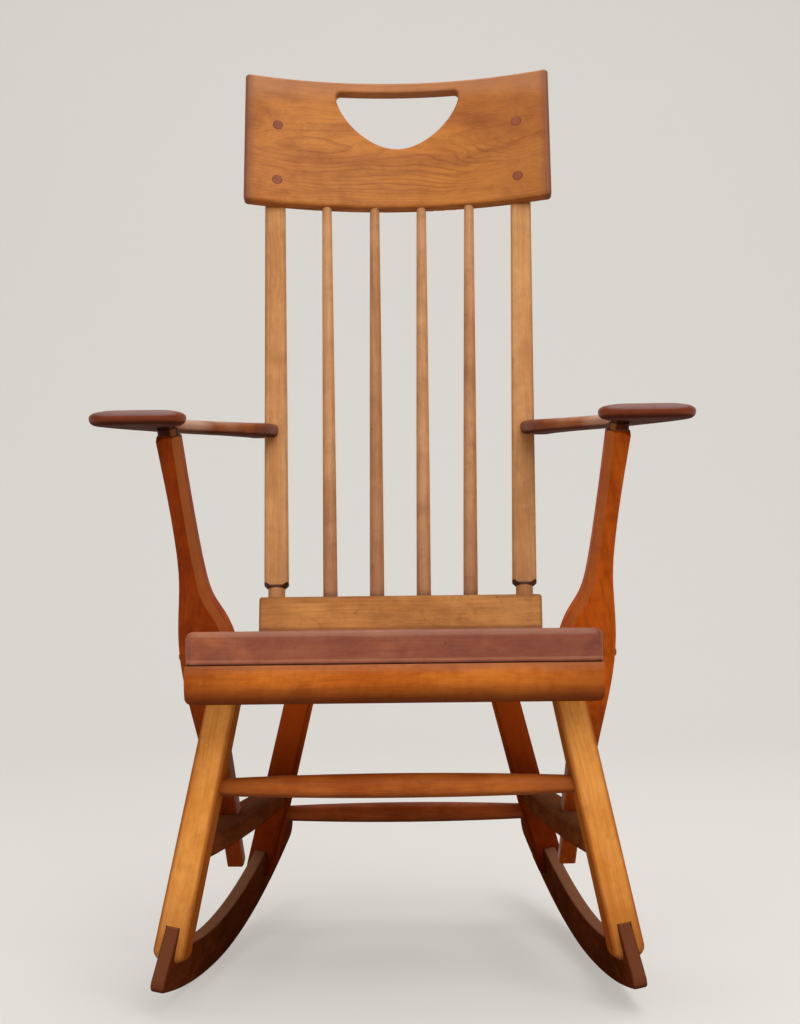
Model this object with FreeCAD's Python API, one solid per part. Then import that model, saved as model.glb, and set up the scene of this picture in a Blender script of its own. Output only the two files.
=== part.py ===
import FreeCAD, Part
import math
import os

# An open-armed hardwood rocking chair. Millimetres, +Z up, the sitter faces -Y.
# Left and right are the sitter's: left is +X. While it is built, Y counts back from
# the front edge of the seat; saving shifts every piece so that the origin is on the
# floor, halfway between the frontmost and the rearmost point.

Vector = FreeCAD.Vector
upAxis = Vector(0, 0, 1)
acrossAxis = Vector(1, 0, 0)
depthAxis = Vector(0, 1, 0)

# Fits
glueGap = 0.15
seatGap = 0.1
cutOverrun = 2.0
alongTolerance = 1.0

# Seat plank
seatFrontWidth = 420.6
seatRearWidth = 348.0
seatDepth = 440.0
seatThickness = 34.5
seatFrontHeight = 392.0
seatSlopeAngle = 5.3
seatTopRound = 8.0
seatBottomRound = 2.0
seatCornerRadius = 9.0

# Rolled apron under the front edge
apronHeight = 39.5
apronDepth = 36.0
apronBulge = 5.0
apronEndRound = 7.0
apronDowelRadius = 4.0
apronDowelLength = 34.0
apronDowelSpreadShares = (-0.36, 0.0, 0.36)

# Back: posts, spindles and riser lean on one raked plane
backRakeAngle = 19.0
riserEndMargin = 5.5
riserThickness = 30.0
riserTopHeight = 403.5
riserFrontReach = 400.0
riserRound = 3.5
riserScrewSpreadShares = (-0.31, 0.0, 0.31)

postFootSpread = 148.4
postTopSpread = 156.5
postFootWidth = 29.0
postTopWidth = 24.4
postThickness = 20.0
postEdgeRound = 4.0
postNeckRadius = 10.2
postNeckLength = 13.0
postTenonRadius = 9.5
postTenonDepth = 52.0
postTopBelowCrest = 42.0

spindleFootSpreads = (-84.0, -28.0, 28.0, 84.0)
spindleTopSpreads = (-90.5, -29.8, 29.8, 90.5)
spindleFootRadius = 8.7
spindleMiddleRadius = 7.6
spindleTopRadius = 6.0
spindleFootTenonRadius = 7.0
spindleTopTenonRadius = 5.0
spindleTenonDepth = 24.0

# Crest rail: a board bent about the raked axis, with a hand hole
crestHalfSpan = 194.6
crestHeight = 180.0
crestThickness = 18.5
crestSag = 32.0
crestFootAlong = 517.5
crestEndForward = 37.5
crestEdgeRound = 4.5
crestCornerRadius = 5.0
handHoleWidth = 158.5
handHoleHeight = 81.5
handHoleBelowTop = 14.5
handHoleCornerRadius = 6.0
handHoleShoulderDropShare = 0.14
handHoleFlankSpreadShare = 0.335
handHoleFlankDropShare = 0.68
handHoleEdgeRound = 3.0
crestPlugRadius = 6.2
crestPlugDepth = 6.0
crestPlugSpread = 152.8
crestPlugBelowTops = (70.0, 148.0)
crestScrewLength = 30.0

# Arms
armThickness = 16.0
armTopHeight = 616.5
armFrontReach = 9.0
armOuterHalfSpan = 307.5
armRearInner = 150.0
armRearWidth = 38.0
armRearOverhang = 31.0
armEdgeRound = 6.0
armRearRound = 10.0
armScrewLength = 34.0
armPlugDepth = 6.0
armPlugRadius = 5.0

# Shares of the arm's outline: of its length for reach, of its spread for width
armRearBendShare = 0.1
armInnerBendReachShare = 0.84
armWaistInShare = 0.42
armWaistReachShare = 0.47
armHeelInShare = 0.24
armHeelReachShare = 0.13
armToeInShare = 0.5
armToeOutShare = 0.72
armBulgeReachShare = 0.15
armWaistOutShare = 0.78
armOuterWaistReachShare = 0.38
armNarrowOutShare = 0.52
armOuterNarrowReachShare = 0.6
armBendOutShare = 0.18
armOuterBendReachShare = 0.8

# Arm supports
supportAxisTop = 236.4
supportAxisFoot = 189.0
supportAxisFootHeight = 150.0
supportTopReach = 93.0
supportFootReach = 246.0
supportTurnAngle = 3.0
supportTopWidth = 24.6
supportTopDepth = 23.5
supportSeatDepth = 27.0
supportShoulderDepth = 24.0
supportFlareIn = 35.5
supportFlareOut = 23.5
supportNeckRadius = 10.8
supportNeckLength = 7.0
supportChamferLength = 5.0
supportTenonRadius = 8.5
supportTenonDepth = 12.0
supportEdgeRound = 2.0
supportInnerChamfer = 9.0
supportTongueWidth = 19.0
supportTongueDepth = 19.0
supportTongueBelow = 35.0
supportScrewBelowSeat = 22.0
supportScrewLength = 52.0
supportButtonRadius = 5.5
supportButtonRise = 3.6
supportButtonDepth = 5.0

# Legs
legWidth = 33.0
legFootDepth = 42.0
legTopWidth = 31.0
legTopDepth = 33.0
legEdgeRound = 4.5
legTenonRadius = 11.0
legTenonDepth = 24.0
frontLegFootReach = 56.0
frontLegFootHeight = 60.0
frontLegTopReach = 83.0
frontLegTopSpread = 171.4
frontLegEndHeight = 49.0
rearLegFootHeight = 70.0
rearLegTopReach = 415.0
rearLegTopSpread = 114.0
rearLegEndHeight = 63.0
prongEndRadius = 12.0

# Rockers: boards in a plane that leans in towards the top and towards the back
rockerThickness = 14.5
rockerPlaneSpread = 250.8
rockerPlaneToeShare = 0.116
rockerPlaneCantShare = 0.186
rockerTipHeight = 28.5
rockerTailBottomHeight = 88.0
rockerContactReach = 279.3
rockerTipReach = 5.0
rockerTailReach = 662.0
rockerRearOverhang = 149.0
rearLegFootReach = rockerTailReach - rockerRearOverhang
rockerWaistHeight = 50.0
rockerWaistReach = 225.0
rockerTopRadius = 830.0
rockerFrontTabTop = 88.0
rockerFrontTabDepth = 44.0
rockerFrontFaceRun = 33.0
rockerTabSweep = 22.0
rockerTabSlant = 6.0
rockerTabRound = 3.5
rockerRearTabTop = 102.0
rockerTailHeight = 34.0
rockerEdgeRound = 2.5
rockerTipRound = 9.0
rockerTailRound = 11.0
rockerPinRadius = 4.0
rockerPinLength = 25.0

# Stretchers
frontStretcherHeight = 226.0
frontStretcherEndRadius = 8.6
frontStretcherMiddleRadius = 12.8
rearStretcherHeight = 137.0
rearStretcherEndRadius = 8.6
rearStretcherMiddleRadius = 12.2
sideStretcherHeight = 161.0
sideStretcherThickness = 27.0
sideStretcherEndWidth = 24.0
sideStretcherMiddleWidth = 38.0
sideStretcherRound = 9.0
stretcherTenonRadius = 7.0
stretcherTenonDepth = 14.0
stretcherStraightRun = 4.0

# Screws
screwRadius = 2.3
screwHeadRadius = 4.4
screwHeadHeight = 3.2
riserScrewLength = 48.0

# Worked out from the sizes above
seatSlope = math.radians(seatSlopeAngle)
seatBack = Vector(0, math.cos(seatSlope), -math.sin(seatSlope))
seatTopDown = Vector(0, -math.sin(seatSlope), -math.cos(seatSlope))
backRake = math.radians(backRakeAngle)
backUp = Vector(0, math.sin(backRake), math.cos(backRake))
backRear = Vector(0, math.cos(backRake), -math.sin(backRake))
riserWidth = 2 * (postFootSpread + postFootWidth / 2 + riserEndMargin)
riserMiddleReach = riserFrontReach + riserThickness / math.cos(backRake) / 2
backFoot = Vector(0, riserMiddleReach, riserTopHeight)
crestRadius = (crestHalfSpan ** 2 + crestSag ** 2) / (2 * crestSag)
crestMiddleRear = crestSag - crestEndForward
crestCentreRear = crestMiddleRear - crestRadius


def seatPoint(across, back, down):
    """A point of the seat: back along its top from the front edge, down through it."""
    return Vector(across, 0, seatFrontHeight) + seatBack * back + seatTopDown * down


def backPoint(across, along, rear):
    """A point of the back: along its raked plane from the riser's top, and behind it."""
    return backFoot + acrossAxis * across + backUp * along + backRear * rear


def seatTopAt(reach):
    return seatFrontHeight - reach * math.tan(seatSlope)


def unit(vector):
    return vector * (1 / vector.Length)


def placed(shape, origin, xDir, yDir):
    """Move a shape from the XY frame to an origin with the given axes."""
    rotation = FreeCAD.Rotation(xDir, yDir, xDir.cross(yDir), "XYZ")
    moved = shape.copy()
    moved.Placement = FreeCAD.Placement(origin, rotation).multiply(shape.Placement)
    return moved


def chain(points):
    """Straight edges from each point to the next; a point given twice adds none."""
    return [Part.LineSegment(a, b).toShape() for a, b in zip(points, points[1:]) if (b - a).Length > 0]


def arc(start, middle, end):
    return Part.Arc(start, middle, end).toShape()


def roundedRectangle(left, right, front, back, radius):
    """A closed wire in the XY plane, the same eight edges for any size."""
    bend = radius * (1 - math.sqrt(0.5))
    lines = (
        (Vector(left + radius, front, 0), Vector(right - radius, front, 0)),
        (Vector(right, front + radius, 0), Vector(right, back - radius, 0)),
        (Vector(right - radius, back, 0), Vector(left + radius, back, 0)),
        (Vector(left, back - radius, 0), Vector(left, front + radius, 0)),
    )
    bends = (
        Vector(right - bend, front + bend, 0),
        Vector(right - bend, back - bend, 0),
        Vector(left + bend, back - bend, 0),
        Vector(left + bend, front + bend, 0),
    )
    edges = []
    for index, (start, end) in enumerate(lines):
        following = lines[(index + 1) % len(lines)][0]
        edges += chain([start, end])
        edges.append(arc(end, bends[index], following))
    return Part.Wire(edges)


def stick(start, end, sideways, startSize, endSize, radius):
    """A tapered bar of rounded rectangular section; sideways gives its width."""
    axis = unit(end - start)
    across = unit(sideways - axis * sideways.dot(axis))
    depthwise = axis.cross(across)
    rings = []
    for point, (width, depth) in ((start, startSize), (end, endSize)):
        ring = roundedRectangle(-width / 2, width / 2, -depth / 2, depth / 2, radius)
        rings.append(placed(ring, point, across, depthwise))
    return Part.makeLoft(rings, True, True)


def rod(start, end, radius):
    return Part.makeCylinder(radius, (end - start).Length, start, end - start)


def turned(start, end, tenonLength, tenonRadii, radii):
    """A lathe-turned bar: one long swell from start to end, and a round tenon beyond each."""
    length = (end - start).Length
    foot = Vector(0, 0, -tenonLength)
    head = Vector(0, 0, length + tenonLength)
    swellStart = Vector(radii[0], 0, 0)
    swellMiddle = Vector(radii[1], 0, length / 2)
    swellEnd = Vector(radii[2], 0, length)
    edges = chain([foot, Vector(tenonRadii[0], 0, foot.z), Vector(tenonRadii[0], 0, 0), swellStart])
    edges.append(arc(swellStart, swellMiddle, swellEnd))
    edges += chain([swellEnd, Vector(tenonRadii[1], 0, length), Vector(tenonRadii[1], 0, head.z), head, foot])
    body = Part.Face(Part.Wire(edges)).revolve(Vector(0, 0, 0), upAxis, 360)
    body.Placement = FreeCAD.Placement(start, FreeCAD.Rotation(upAxis, end - start))
    return body


def screw(head, tip):
    """A countersunk wood screw: its head's face is at the first point."""
    inward = unit(tip - head)
    cone = Part.makeCone(screwHeadRadius, screwRadius, screwHeadHeight, head, inward)
    shank = rod(head + inward * screwHeadHeight, tip, screwRadius)
    return cone.fuse(shank).removeSplitter()


def screwHole(head, tip, radius=screwRadius):
    """The room a screw needs, opened out behind its head."""
    inward = unit(tip - head)
    shank = rod(head, tip + inward * glueGap, radius + glueGap)
    seatOfHead = Part.makeCone(
        screwHeadRadius + glueGap, radius + glueGap, screwHeadHeight, head, inward
    )
    return shank.fuse(seatOfHead)


def mirrored(shape):
    return shape.mirror(Vector(0, 0, 0), acrossAxis)


def edgesAlong(shape, test):
    return [edge for edge in shape.Edges if test(edge)]


def alongDirection(edge, direction):
    """True for a straight edge that runs along the direction."""
    if edge.Curve.TypeId != "Part::GeomLine":
        return False
    leaning = unit(edge.tangentAt(edge.FirstParameter)).dot(direction)
    return abs(leaning) > math.cos(math.radians(alongTolerance))


# Rocker plane: outward normal, rearward and upward directions, and its contact point
rockerOut = unit(Vector(1, rockerPlaneToeShare, rockerPlaneCantShare))
rockerBack = unit(Vector(-rockerPlaneToeShare, 1, 0))
rockerUp = rockerOut.cross(rockerBack)
# The inner bottom edge, rounded, is the part of a canted rocker that touches the floor.
rockerLift = (
    rockerEdgeRound * (1 - rockerUp.z) + (rockerThickness / 2 - rockerEdgeRound) * rockerOut.z
) / rockerUp.z


def rockerPlanePoint(reach, height):
    """The point of the left rocker's middle plane at a reach and a height."""
    spread = rockerPlaneSpread - rockerPlaneToeShare * reach - rockerPlaneCantShare * height
    return Vector(spread, reach, height)


rockerContact = rockerPlanePoint(rockerContactReach, rockerLift * rockerUp.z)


def arcRadius(reach, height):
    """The radius of an arc that leaves the contact level and passes this point."""
    point = rockerLocal(reach, height)
    return (point.x ** 2 + point.y ** 2) / (2 * point.y)


def rockerLocal(reach, height):
    """Plane coordinates, rearward and upward from the contact, of a reach and a height."""
    offset = rockerPlanePoint(reach, height) - rockerContact
    return Vector(offset.dot(rockerBack), offset.dot(rockerUp), 0)


frontArcRadius = arcRadius(rockerTipReach, rockerTipHeight)
rearArcRadius = arcRadius(rockerTailReach, rockerTailBottomHeight)


def bottomArcPoint(along):
    """The bottom is two arcs that meet, level, where the chair balances."""
    radius = frontArcRadius if along < 0 else rearArcRadius
    return Vector(along, radius - math.sqrt(radius ** 2 - along ** 2), 0)


def topArcPoint(along):
    waist = rockerLocal(rockerWaistReach, rockerWaistHeight)
    rise = rockerTopRadius - math.sqrt(rockerTopRadius ** 2 - (along - waist.x) ** 2)
    return Vector(along, waist.y + rise, 0)


def makeRocker():
    """The left rocker: an arched board with a tab under each leg and a short tail."""
    tip = bottomArcPoint(rockerLocal(rockerTipReach, 0).x)
    tail = bottomArcPoint(rockerLocal(rockerTailReach, 0).x)
    tabFront = rockerLocal(rockerTipReach + rockerFrontFaceRun, rockerFrontTabTop)
    tabBack = tabFront + Vector(rockerFrontTabDepth, 0, 0)
    tabFoot = topArcPoint(tabBack.x + rockerTabSlant)
    rearTab = topArcPoint(rockerLocal(rearLegFootReach + legFootDepth / 2, rockerRearTabTop).x)
    middle = topArcPoint((tabFoot.x + rearTab.x) / 2)
    tailUp = unit(Vector(-tail.x, rearArcRadius - tail.y, 0))
    contact = Vector(0, 0, 0)
    tailTop = tail + tailUp * rockerTailHeight
    edges = [
        arc(tip, bottomArcPoint(tip.x / 2), contact),
        arc(contact, bottomArcPoint(tail.x / 2), tail),
        *chain([tail, tailTop, rearTab]),
        arc(rearTab, middle, tabFoot),
        *chain([tabFoot, tabBack, tabFront, tip]),
    ]
    board = Part.Face(Part.Wire(edges)).extrude(Vector(0, 0, rockerThickness))
    board.translate(Vector(0, 0, -rockerThickness / 2))
    roundings = (
        (tip, rockerTipRound),
        (tail, rockerTailRound),
        (tailTop, rockerTailRound),
        (rearTab, rockerTabSweep),
        (tabFoot, rockerTabSweep),
        (tabBack, rockerTabRound),
        (tabFront, rockerTabRound),
    )
    for corner, radius in roundings:
        upright = edgesAlong(board, lambda edge: alongDirection(edge, upAxis)
                             and edge.CenterOfMass.distanceToPoint(corner) < rockerEdgeRound)
        board = board.makeFillet(radius, upright)
    rims = edgesAlong(board, lambda edge: edge.BoundBox.ZLength < glueGap)
    board = board.makeFillet(rockerEdgeRound, rims)
    return placed(board, rockerContact, rockerBack, rockerUp)


def makeRockerSlots():
    """The room each leg leaves for the rocker: a thicker board below the rocker's top line."""
    low = rockerLocal(rockerTipReach, 0)
    tabFront = rockerLocal(rockerTipReach + rockerFrontFaceRun, rockerFrontTabTop)
    tabBack = tabFront + Vector(rockerFrontTabDepth, 0, 0)
    bottom = -rockerFrontTabTop
    frontBlock = [
        Vector(low.x - rockerTabSweep, bottom, 0),
        Vector(tabBack.x + rockerTabSweep, bottom, 0),
        Vector(tabBack.x + rockerTabSweep, tabBack.y + glueGap, 0),
        Vector(low.x - rockerTabSweep, tabBack.y + glueGap, 0),
    ]
    rearStart = topArcPoint(rockerLocal(rearLegFootReach - legFootDepth, 0).x)
    rearEnd = topArcPoint(rockerLocal(rearLegFootReach + legFootDepth / 2, 0).x)
    rearMiddle = topArcPoint((rearStart.x + rearEnd.x) / 2)
    lift = Vector(0, glueGap, 0)
    over = Vector(rockerTabSweep * 2, rockerTabSweep, 0)
    rearEdges = [
        arc(rearStart + lift, rearMiddle + lift, rearEnd + lift),
        *chain([
            rearEnd + lift, rearEnd + over, Vector(rearEnd.x + over.x, bottom, 0),
            Vector(rearStart.x, bottom, 0), rearStart + lift,
        ]),
    ]
    slots = []
    width = rockerThickness + 2 * glueGap
    for wire in (Part.makePolygon(frontBlock + frontBlock[:1]), Part.Wire(rearEdges)):
        slot = Part.Face(wire).extrude(Vector(0, 0, width))
        slot.translate(Vector(0, 0, -width / 2))
        slots.append(placed(slot, rockerContact, rockerBack, rockerUp))
    return slots


def seatUndersideCutter():
    """Everything above the seat's underside, to trim a leg's shoulder."""
    corner = seatPoint(-seatFrontWidth, -seatFrontWidth, seatThickness + seatGap)
    block = Part.makeBox(2 * seatFrontWidth, 3 * seatFrontWidth, seatFrontWidth)
    return placed(block, corner, acrossAxis, seatBack)


def legAxis(footReach, footHeight, topReach, topSpread):
    """The foot point in the rocker's plane and the point where the axis meets the seat."""
    foot = rockerPlanePoint(footReach, footHeight)
    top = Vector(topSpread, topReach, seatTopAt(topReach) - seatThickness / math.cos(seatSlope))
    return foot, top


frontLegAxis = legAxis(frontLegFootReach, frontLegFootHeight, frontLegTopReach, frontLegTopSpread)
rearLegAxis = legAxis(rearLegFootReach, rearLegFootHeight, rearLegTopReach, rearLegTopSpread)


def axisPoint(axis, height):
    foot, top = axis
    return foot + (top - foot) * ((height - foot.z) / (top.z - foot.z))


def legTenon(axis, gap):
    foot, top = axis
    direction = unit(top - foot)
    low = top - direction * legTenonDepth
    return rod(low, top + direction * (legTenonDepth + gap), legTenonRadius + gap)


def makeLeg(axis, endHeight, slot):
    """A splayed leg, forked over the rocker and tenoned into the seat."""
    foot, top = axis
    direction = unit(top - foot)
    end = axisPoint(axis, endHeight)
    beyond = top + direction * legTenonDepth
    body = stick(end, beyond, rockerOut, (legWidth, legFootDepth), (legTopWidth, legTopDepth), legEdgeRound)
    across = unit(rockerOut - direction * rockerOut.dot(direction))
    endEdges = edgesAlong(body, lambda e: alongDirection(e, across) and (
        e.CenterOfMass - end).dot(direction) < legEdgeRound)
    body = body.makeFillet(prongEndRadius, endEdges)
    body = body.cut(seatUndersideCutter())
    body = body.cut(slot)
    return body.fuse(legTenon(axis, 0)).removeSplitter()


def pinPoints():
    """Where a pin crosses each fork: the middle of the prongs' grip on the rocker."""
    points = []
    for axis, endHeight, top in (
        (frontLegAxis, frontLegEndHeight, rockerFrontTabTop),
        (rearLegAxis, rearLegEndHeight, rockerRearTabTop),
    ):
        middle = axisPoint(axis, (endHeight + top) / 2)
        offset = (middle - rockerContact).dot(rockerOut)
        points.append(middle - rockerOut * offset)
    return points


def pinEnds(point):
    start = point + rockerOut * (legWidth / 2 - glueGap)
    return start, start - rockerOut * rockerPinLength


def seatOutline(grow):
    """The seat's plan in its own slope, corners rounded, grown all round."""
    front = seatFrontWidth / 2 + grow
    rear = seatRearWidth / 2 + grow
    corners = [
        Vector(-front, -grow, 0),
        Vector(front, -grow, 0),
        Vector(rear, seatDepth + grow, 0),
        Vector(-rear, seatDepth + grow, 0),
    ]
    return Part.Face(Part.makePolygon(corners + corners[:1]))


def seatBlank(grow):
    """The seat's plain wedge of plank, its front face upright to the slope."""
    blank = seatOutline(grow).extrude(Vector(0, 0, seatThickness + 2 * grow))
    return placed(blank, seatPoint(0, 0, seatThickness + grow), acrossAxis, seatBack)


def makeSeat():
    plank = seatOutline(0).extrude(Vector(0, 0, seatThickness))
    plank = plank.makeFillet(seatCornerRadius, edgesAlong(plank, lambda e: alongDirection(e, upAxis)))
    top = edgesAlong(plank, lambda e: e.BoundBox.ZMin > seatThickness - glueGap)
    plank = plank.makeFillet(seatTopRound, top)
    bottom = edgesAlong(plank, lambda e: e.BoundBox.ZMax < glueGap)
    plank = plank.makeFillet(seatBottomRound, bottom)
    plank = placed(plank, seatPoint(0, 0, seatThickness), acrossAxis, seatBack)
    for axis in (frontLegAxis, rearLegAxis):
        hole = legTenon(axis, glueGap)
        plank = plank.cut([hole, mirrored(hole)])
    posts = postTenon(glueGap)
    plank = plank.cut([posts, mirrored(posts)])
    for head, tip in supportScrewLines():
        plank = plank.cut(rod(head, tip, screwRadius + glueGap))
    for head, tip in riserScrewLines():
        plank = plank.cut(screwHole(head, tip))
    for start, end in apronDowelLines():
        plank = plank.cut(rod(start, end, apronDowelRadius + glueGap))
    return plank


def makeApron():
    """A bull-nosed rail glued under the seat's front edge."""
    half = seatFrontWidth / 2
    top = seatPoint(0, 0, seatThickness + seatGap)
    backTop = top + seatBack * apronDepth
    frontTop = Vector(0, top.y, top.z)
    frontBottom = Vector(0, top.y + apronBulge, top.z - apronHeight)
    nose = Vector(0, top.y - apronBulge, top.z - apronHeight / 2)
    backBottom = Vector(0, backTop.y, top.z - apronHeight)
    edges = [arc(frontTop, nose, frontBottom), *chain([frontBottom, backBottom, backTop, frontTop])]
    rail = Part.Face(Part.Wire(edges)).extrude(acrossAxis * seatFrontWidth)
    rail.translate(acrossAxis * -half)
    lower = edgesAlong(rail, lambda e: abs(abs(e.CenterOfMass.x) - half) < glueGap and (
        e.BoundBox.ZMax < frontTop.z - glueGap))
    rail = rail.makeFillet(apronEndRound, lower)
    for start, end in apronDowelLines():
        rail = rail.cut(rod(start, end, apronDowelRadius + glueGap))
    return rail


def apronDowelLines():
    lines = []
    for share in apronDowelSpreadShares:
        joint = seatPoint(seatFrontWidth * share, apronDepth / 2, seatThickness)
        lines.append((joint - upAxis * (apronDowelLength / 2), joint + upAxis * (apronDowelLength / 2)))
    return lines


def makeRiser():
    """The raked rail on the seat that carries the posts and the spindles."""
    height = riserTopHeight - seatFrontHeight + seatDepth
    block = Part.makeBox(riserWidth, riserThickness, height)
    block.translate(Vector(-riserWidth / 2, -riserThickness / 2, -height))
    long = edgesAlong(block, lambda e: alongDirection(e, acrossAxis) and e.CenterOfMass.z > -glueGap)
    upright = edgesAlong(block, lambda e: alongDirection(e, upAxis))
    short = edgesAlong(block, lambda e: e.CenterOfMass.z > -glueGap and not alongDirection(e, acrossAxis))
    block = block.makeFillet(riserRound, long + upright + short)
    rotation = FreeCAD.Rotation(acrossAxis, -backRakeAngle)
    block.Placement = FreeCAD.Placement(backFoot, rotation)
    under = Part.makeBox(2 * riserWidth, 2 * seatDepth, seatDepth)
    corner = seatPoint(-riserWidth, 0, seatDepth - seatGap)
    block = block.cut(placed(under, corner, acrossAxis, seatBack))
    posts = postTenon(glueGap)
    block = block.cut([posts, mirrored(posts)])
    for foot, top in spindleLines():
        direction = unit(top - foot)
        bore = rod(foot - direction * (spindleTenonDepth + glueGap), foot + direction * cutOverrun,
                   spindleFootTenonRadius + glueGap)
        block = block.cut(bore)
    for head, tip in riserScrewLines():
        block = block.cut(rod(head, tip, screwRadius + glueGap))
    return block


def riserScrewLines():
    """Screws driven up through the seat into the riser."""
    lines = []
    for share in riserScrewSpreadShares:
        top = backPoint(riserWidth * share, 0, 0)
        drop = (top.z - seatTopAt(top.y) + seatThickness) / backUp.z
        head = top - backUp * (drop + riserThickness / 2 * math.tan(backRake) / 2)
        lines.append((head, head + backUp * riserScrewLength))
    return lines


def postLine():
    """The left post's axis, from the riser's top to its own top behind the crest."""
    foot = backPoint(postFootSpread, 0, 0)
    topAlong = crestFootAlong + crestHeight - postTopBelowCrest
    slope = (postTopSpread - postFootSpread) / crestFootAlong
    top = backPoint(postFootSpread + slope * topAlong, topAlong, 0)
    return foot, top


def postTenon(gap):
    foot, top = postLine()
    direction = unit(top - foot)
    low = foot - direction * (postTenonDepth + gap)
    return rod(low, foot + direction * postNeckLength, postTenonRadius + gap)


def crestCylinder(radius):
    """A cylinder about the crest's bending axis, long enough to cut with."""
    base = backPoint(0, crestFootAlong - crestHeight, crestCentreRear)
    return Part.makeCylinder(radius, 3 * crestHeight, base, backUp)


def makePost():
    """The left post: a tapered flat bar, coped to the crest and necked at its foot."""
    foot, top = postLine()
    direction = unit(top - foot)
    neckTop = foot + direction * postNeckLength
    body = stick(neckTop, top, acrossAxis, (postFootWidth, postThickness), (postTopWidth, postThickness),
                 postEdgeRound)
    reach = (top - neckTop).Length
    flare = Part.makeCone(postNeckRadius, postNeckRadius + reach, reach, neckTop, direction)
    body = body.common(flare)
    behindCrest = crestCylinder(crestRadius + crestThickness + seatGap)
    crestZone = Part.makeBox(crestHalfSpan, crestHalfSpan, crestHeight * 2)
    corner = backPoint(crestHalfSpan / 2, crestFootAlong - seatGap, -crestHalfSpan / 2)
    crestZone = placed(crestZone, corner, acrossAxis, backRear)
    body = body.cut(behindCrest.common(crestZone))
    body = body.fuse(rod(foot + direction * seatGap, neckTop, postNeckRadius))
    body = body.fuse(postTenon(0)).removeSplitter()
    for head, tip in crestScrewLines():
        if head.x > 0:
            body = body.cut(rod(head, tip, screwRadius + glueGap))
    head, tip = armScrewLine()
    body = body.cut(screwHole(head, tip))
    outside = head + backRear * (armPlugDepth + cutOverrun)
    return body.cut(rod(head - backRear * glueGap, outside, armPlugRadius + glueGap))


def crestRearAt(across, depth):
    """How far behind the back's plane the crest lies there, depth in from its front."""
    radius = crestRadius + depth
    return crestCentreRear + math.sqrt(radius ** 2 - across ** 2)


def spindleLines():
    lines = []
    for footSpread, topSpread in zip(spindleFootSpreads, spindleTopSpreads):
        foot = backPoint(footSpread, 0, 0)
        top = backPoint(topSpread, crestFootAlong, crestRearAt(topSpread, crestThickness / 2))
        lines.append((foot, top))
    return lines


def makeSpindle(foot, top):
    direction = unit(top - foot)
    return turned(foot + direction * seatGap, top - direction * seatGap, spindleTenonDepth,
                  (spindleFootTenonRadius, spindleTopTenonRadius),
                  (spindleFootRadius, spindleMiddleRadius, spindleTopRadius))


def crestScrewLines():
    """Four screws through the crest into the posts, their heads under the plugs."""
    lines = []
    for sign in (-1, 1):
        for below in crestPlugBelowTops:
            along = crestFootAlong + crestHeight - below
            head = backPoint(sign * crestPlugSpread, along, crestRearAt(crestPlugSpread, crestPlugDepth))
            lines.append((head, head + backRear * crestScrewLength))
    return lines


def handHoleFace(depth):
    """The D-shaped hole in the back's plane: a flat top over one sweeping curve."""
    half = handHoleWidth / 2
    topAlong = crestFootAlong + crestHeight - handHoleBelowTop

    def at(spread, drop):
        return Vector(spread, topAlong - drop, 0)

    shoulderDrop = handHoleHeight * handHoleShoulderDropShare
    flank = at(half * 2 * handHoleFlankSpreadShare, handHoleHeight * handHoleFlankDropShare)
    flankLeft = Vector(-flank.x, flank.y, 0)
    sweep = Part.BSplineCurve()
    sweep.interpolate([
        at(half, shoulderDrop), flank, at(0, handHoleHeight), flankLeft, at(-half, shoulderDrop),
    ])
    edges = [
        *chain([at(-half, shoulderDrop), at(-half, 0), at(half, 0), at(half, shoulderDrop)]),
        sweep.toShape(),
    ]
    face = Part.Face(Part.Wire(edges))
    solid = face.extrude(Vector(0, 0, depth))
    corners = edgesAlong(solid, lambda e: alongDirection(e, upAxis) and (
        e.CenterOfMass.y > topAlong - glueGap))
    return solid.makeFillet(handHoleCornerRadius, corners)


def makeCrest():
    """The bent crest rail with its hand hole, screw pockets and spindle holes."""
    outer = crestCylinder(crestRadius + crestThickness)
    ring = outer.cut(crestCylinder(crestRadius))
    window = Part.makeBox(2 * crestHalfSpan, 2 * crestHalfSpan, crestHeight)
    corner = backPoint(-crestHalfSpan, crestFootAlong, -crestHalfSpan)
    board = ring.common(placed(window, corner, acrossAxis, backRear))

    def isCorner(edge):
        return alongDirection(edge, backRear) or (
            abs(abs(edge.CenterOfMass.x) - crestHalfSpan) < glueGap and edge.Length < crestThickness * 2)

    board = board.makeFillet(crestCornerRadius, edgesAlong(board, isCorner))
    holeDepth = 4 * crestSag
    hole = placed(handHoleFace(holeDepth), backPoint(0, 0, crestSag * 2), acrossAxis, backUp)
    board = board.cut(hole)
    rims = [edge for edge in board.Edges if edge.Length > crestThickness * 2]
    holeRims = [edge for edge in rims if abs(edge.CenterOfMass.x) < handHoleWidth
                and edge.BoundBox.XMax < handHoleWidth / 2 + glueGap
                and edge.BoundBox.XMin > -handHoleWidth / 2 - glueGap]
    board = board.makeFillet(handHoleEdgeRound, holeRims)
    outerRims = [edge for edge in board.Edges if edge.BoundBox.XLength > handHoleWidth * 2
                 or abs(edge.CenterOfMass.x) > crestHalfSpan - crestCornerRadius]
    board = board.makeFillet(crestEdgeRound, outerRims)
    for foot, top in spindleLines():
        direction = unit(top - foot)
        board = board.cut(rod(top - direction * spindleTenonDepth,
                              top + direction * (spindleTenonDepth + glueGap),
                              spindleTopTenonRadius + glueGap))
    for head, tip in crestScrewLines():
        pocket = rod(head + backRear * glueGap, head - backRear * (crestPlugDepth * 3),
                     crestPlugRadius + glueGap)
        board = board.cut([pocket, screwHole(head + backRear * glueGap, tip)])
    return board


def makeCrestPlugs():
    """Round face plugs, trimmed to the crest's front."""
    plugs = []
    inside = crestCylinder(crestRadius)
    for head, tip in crestScrewLines():
        plug = rod(head - backRear * glueGap, head - backRear * (crestPlugDepth * 2), crestPlugRadius)
        plugs.append(plug.cut(inside))
    return plugs


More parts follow.
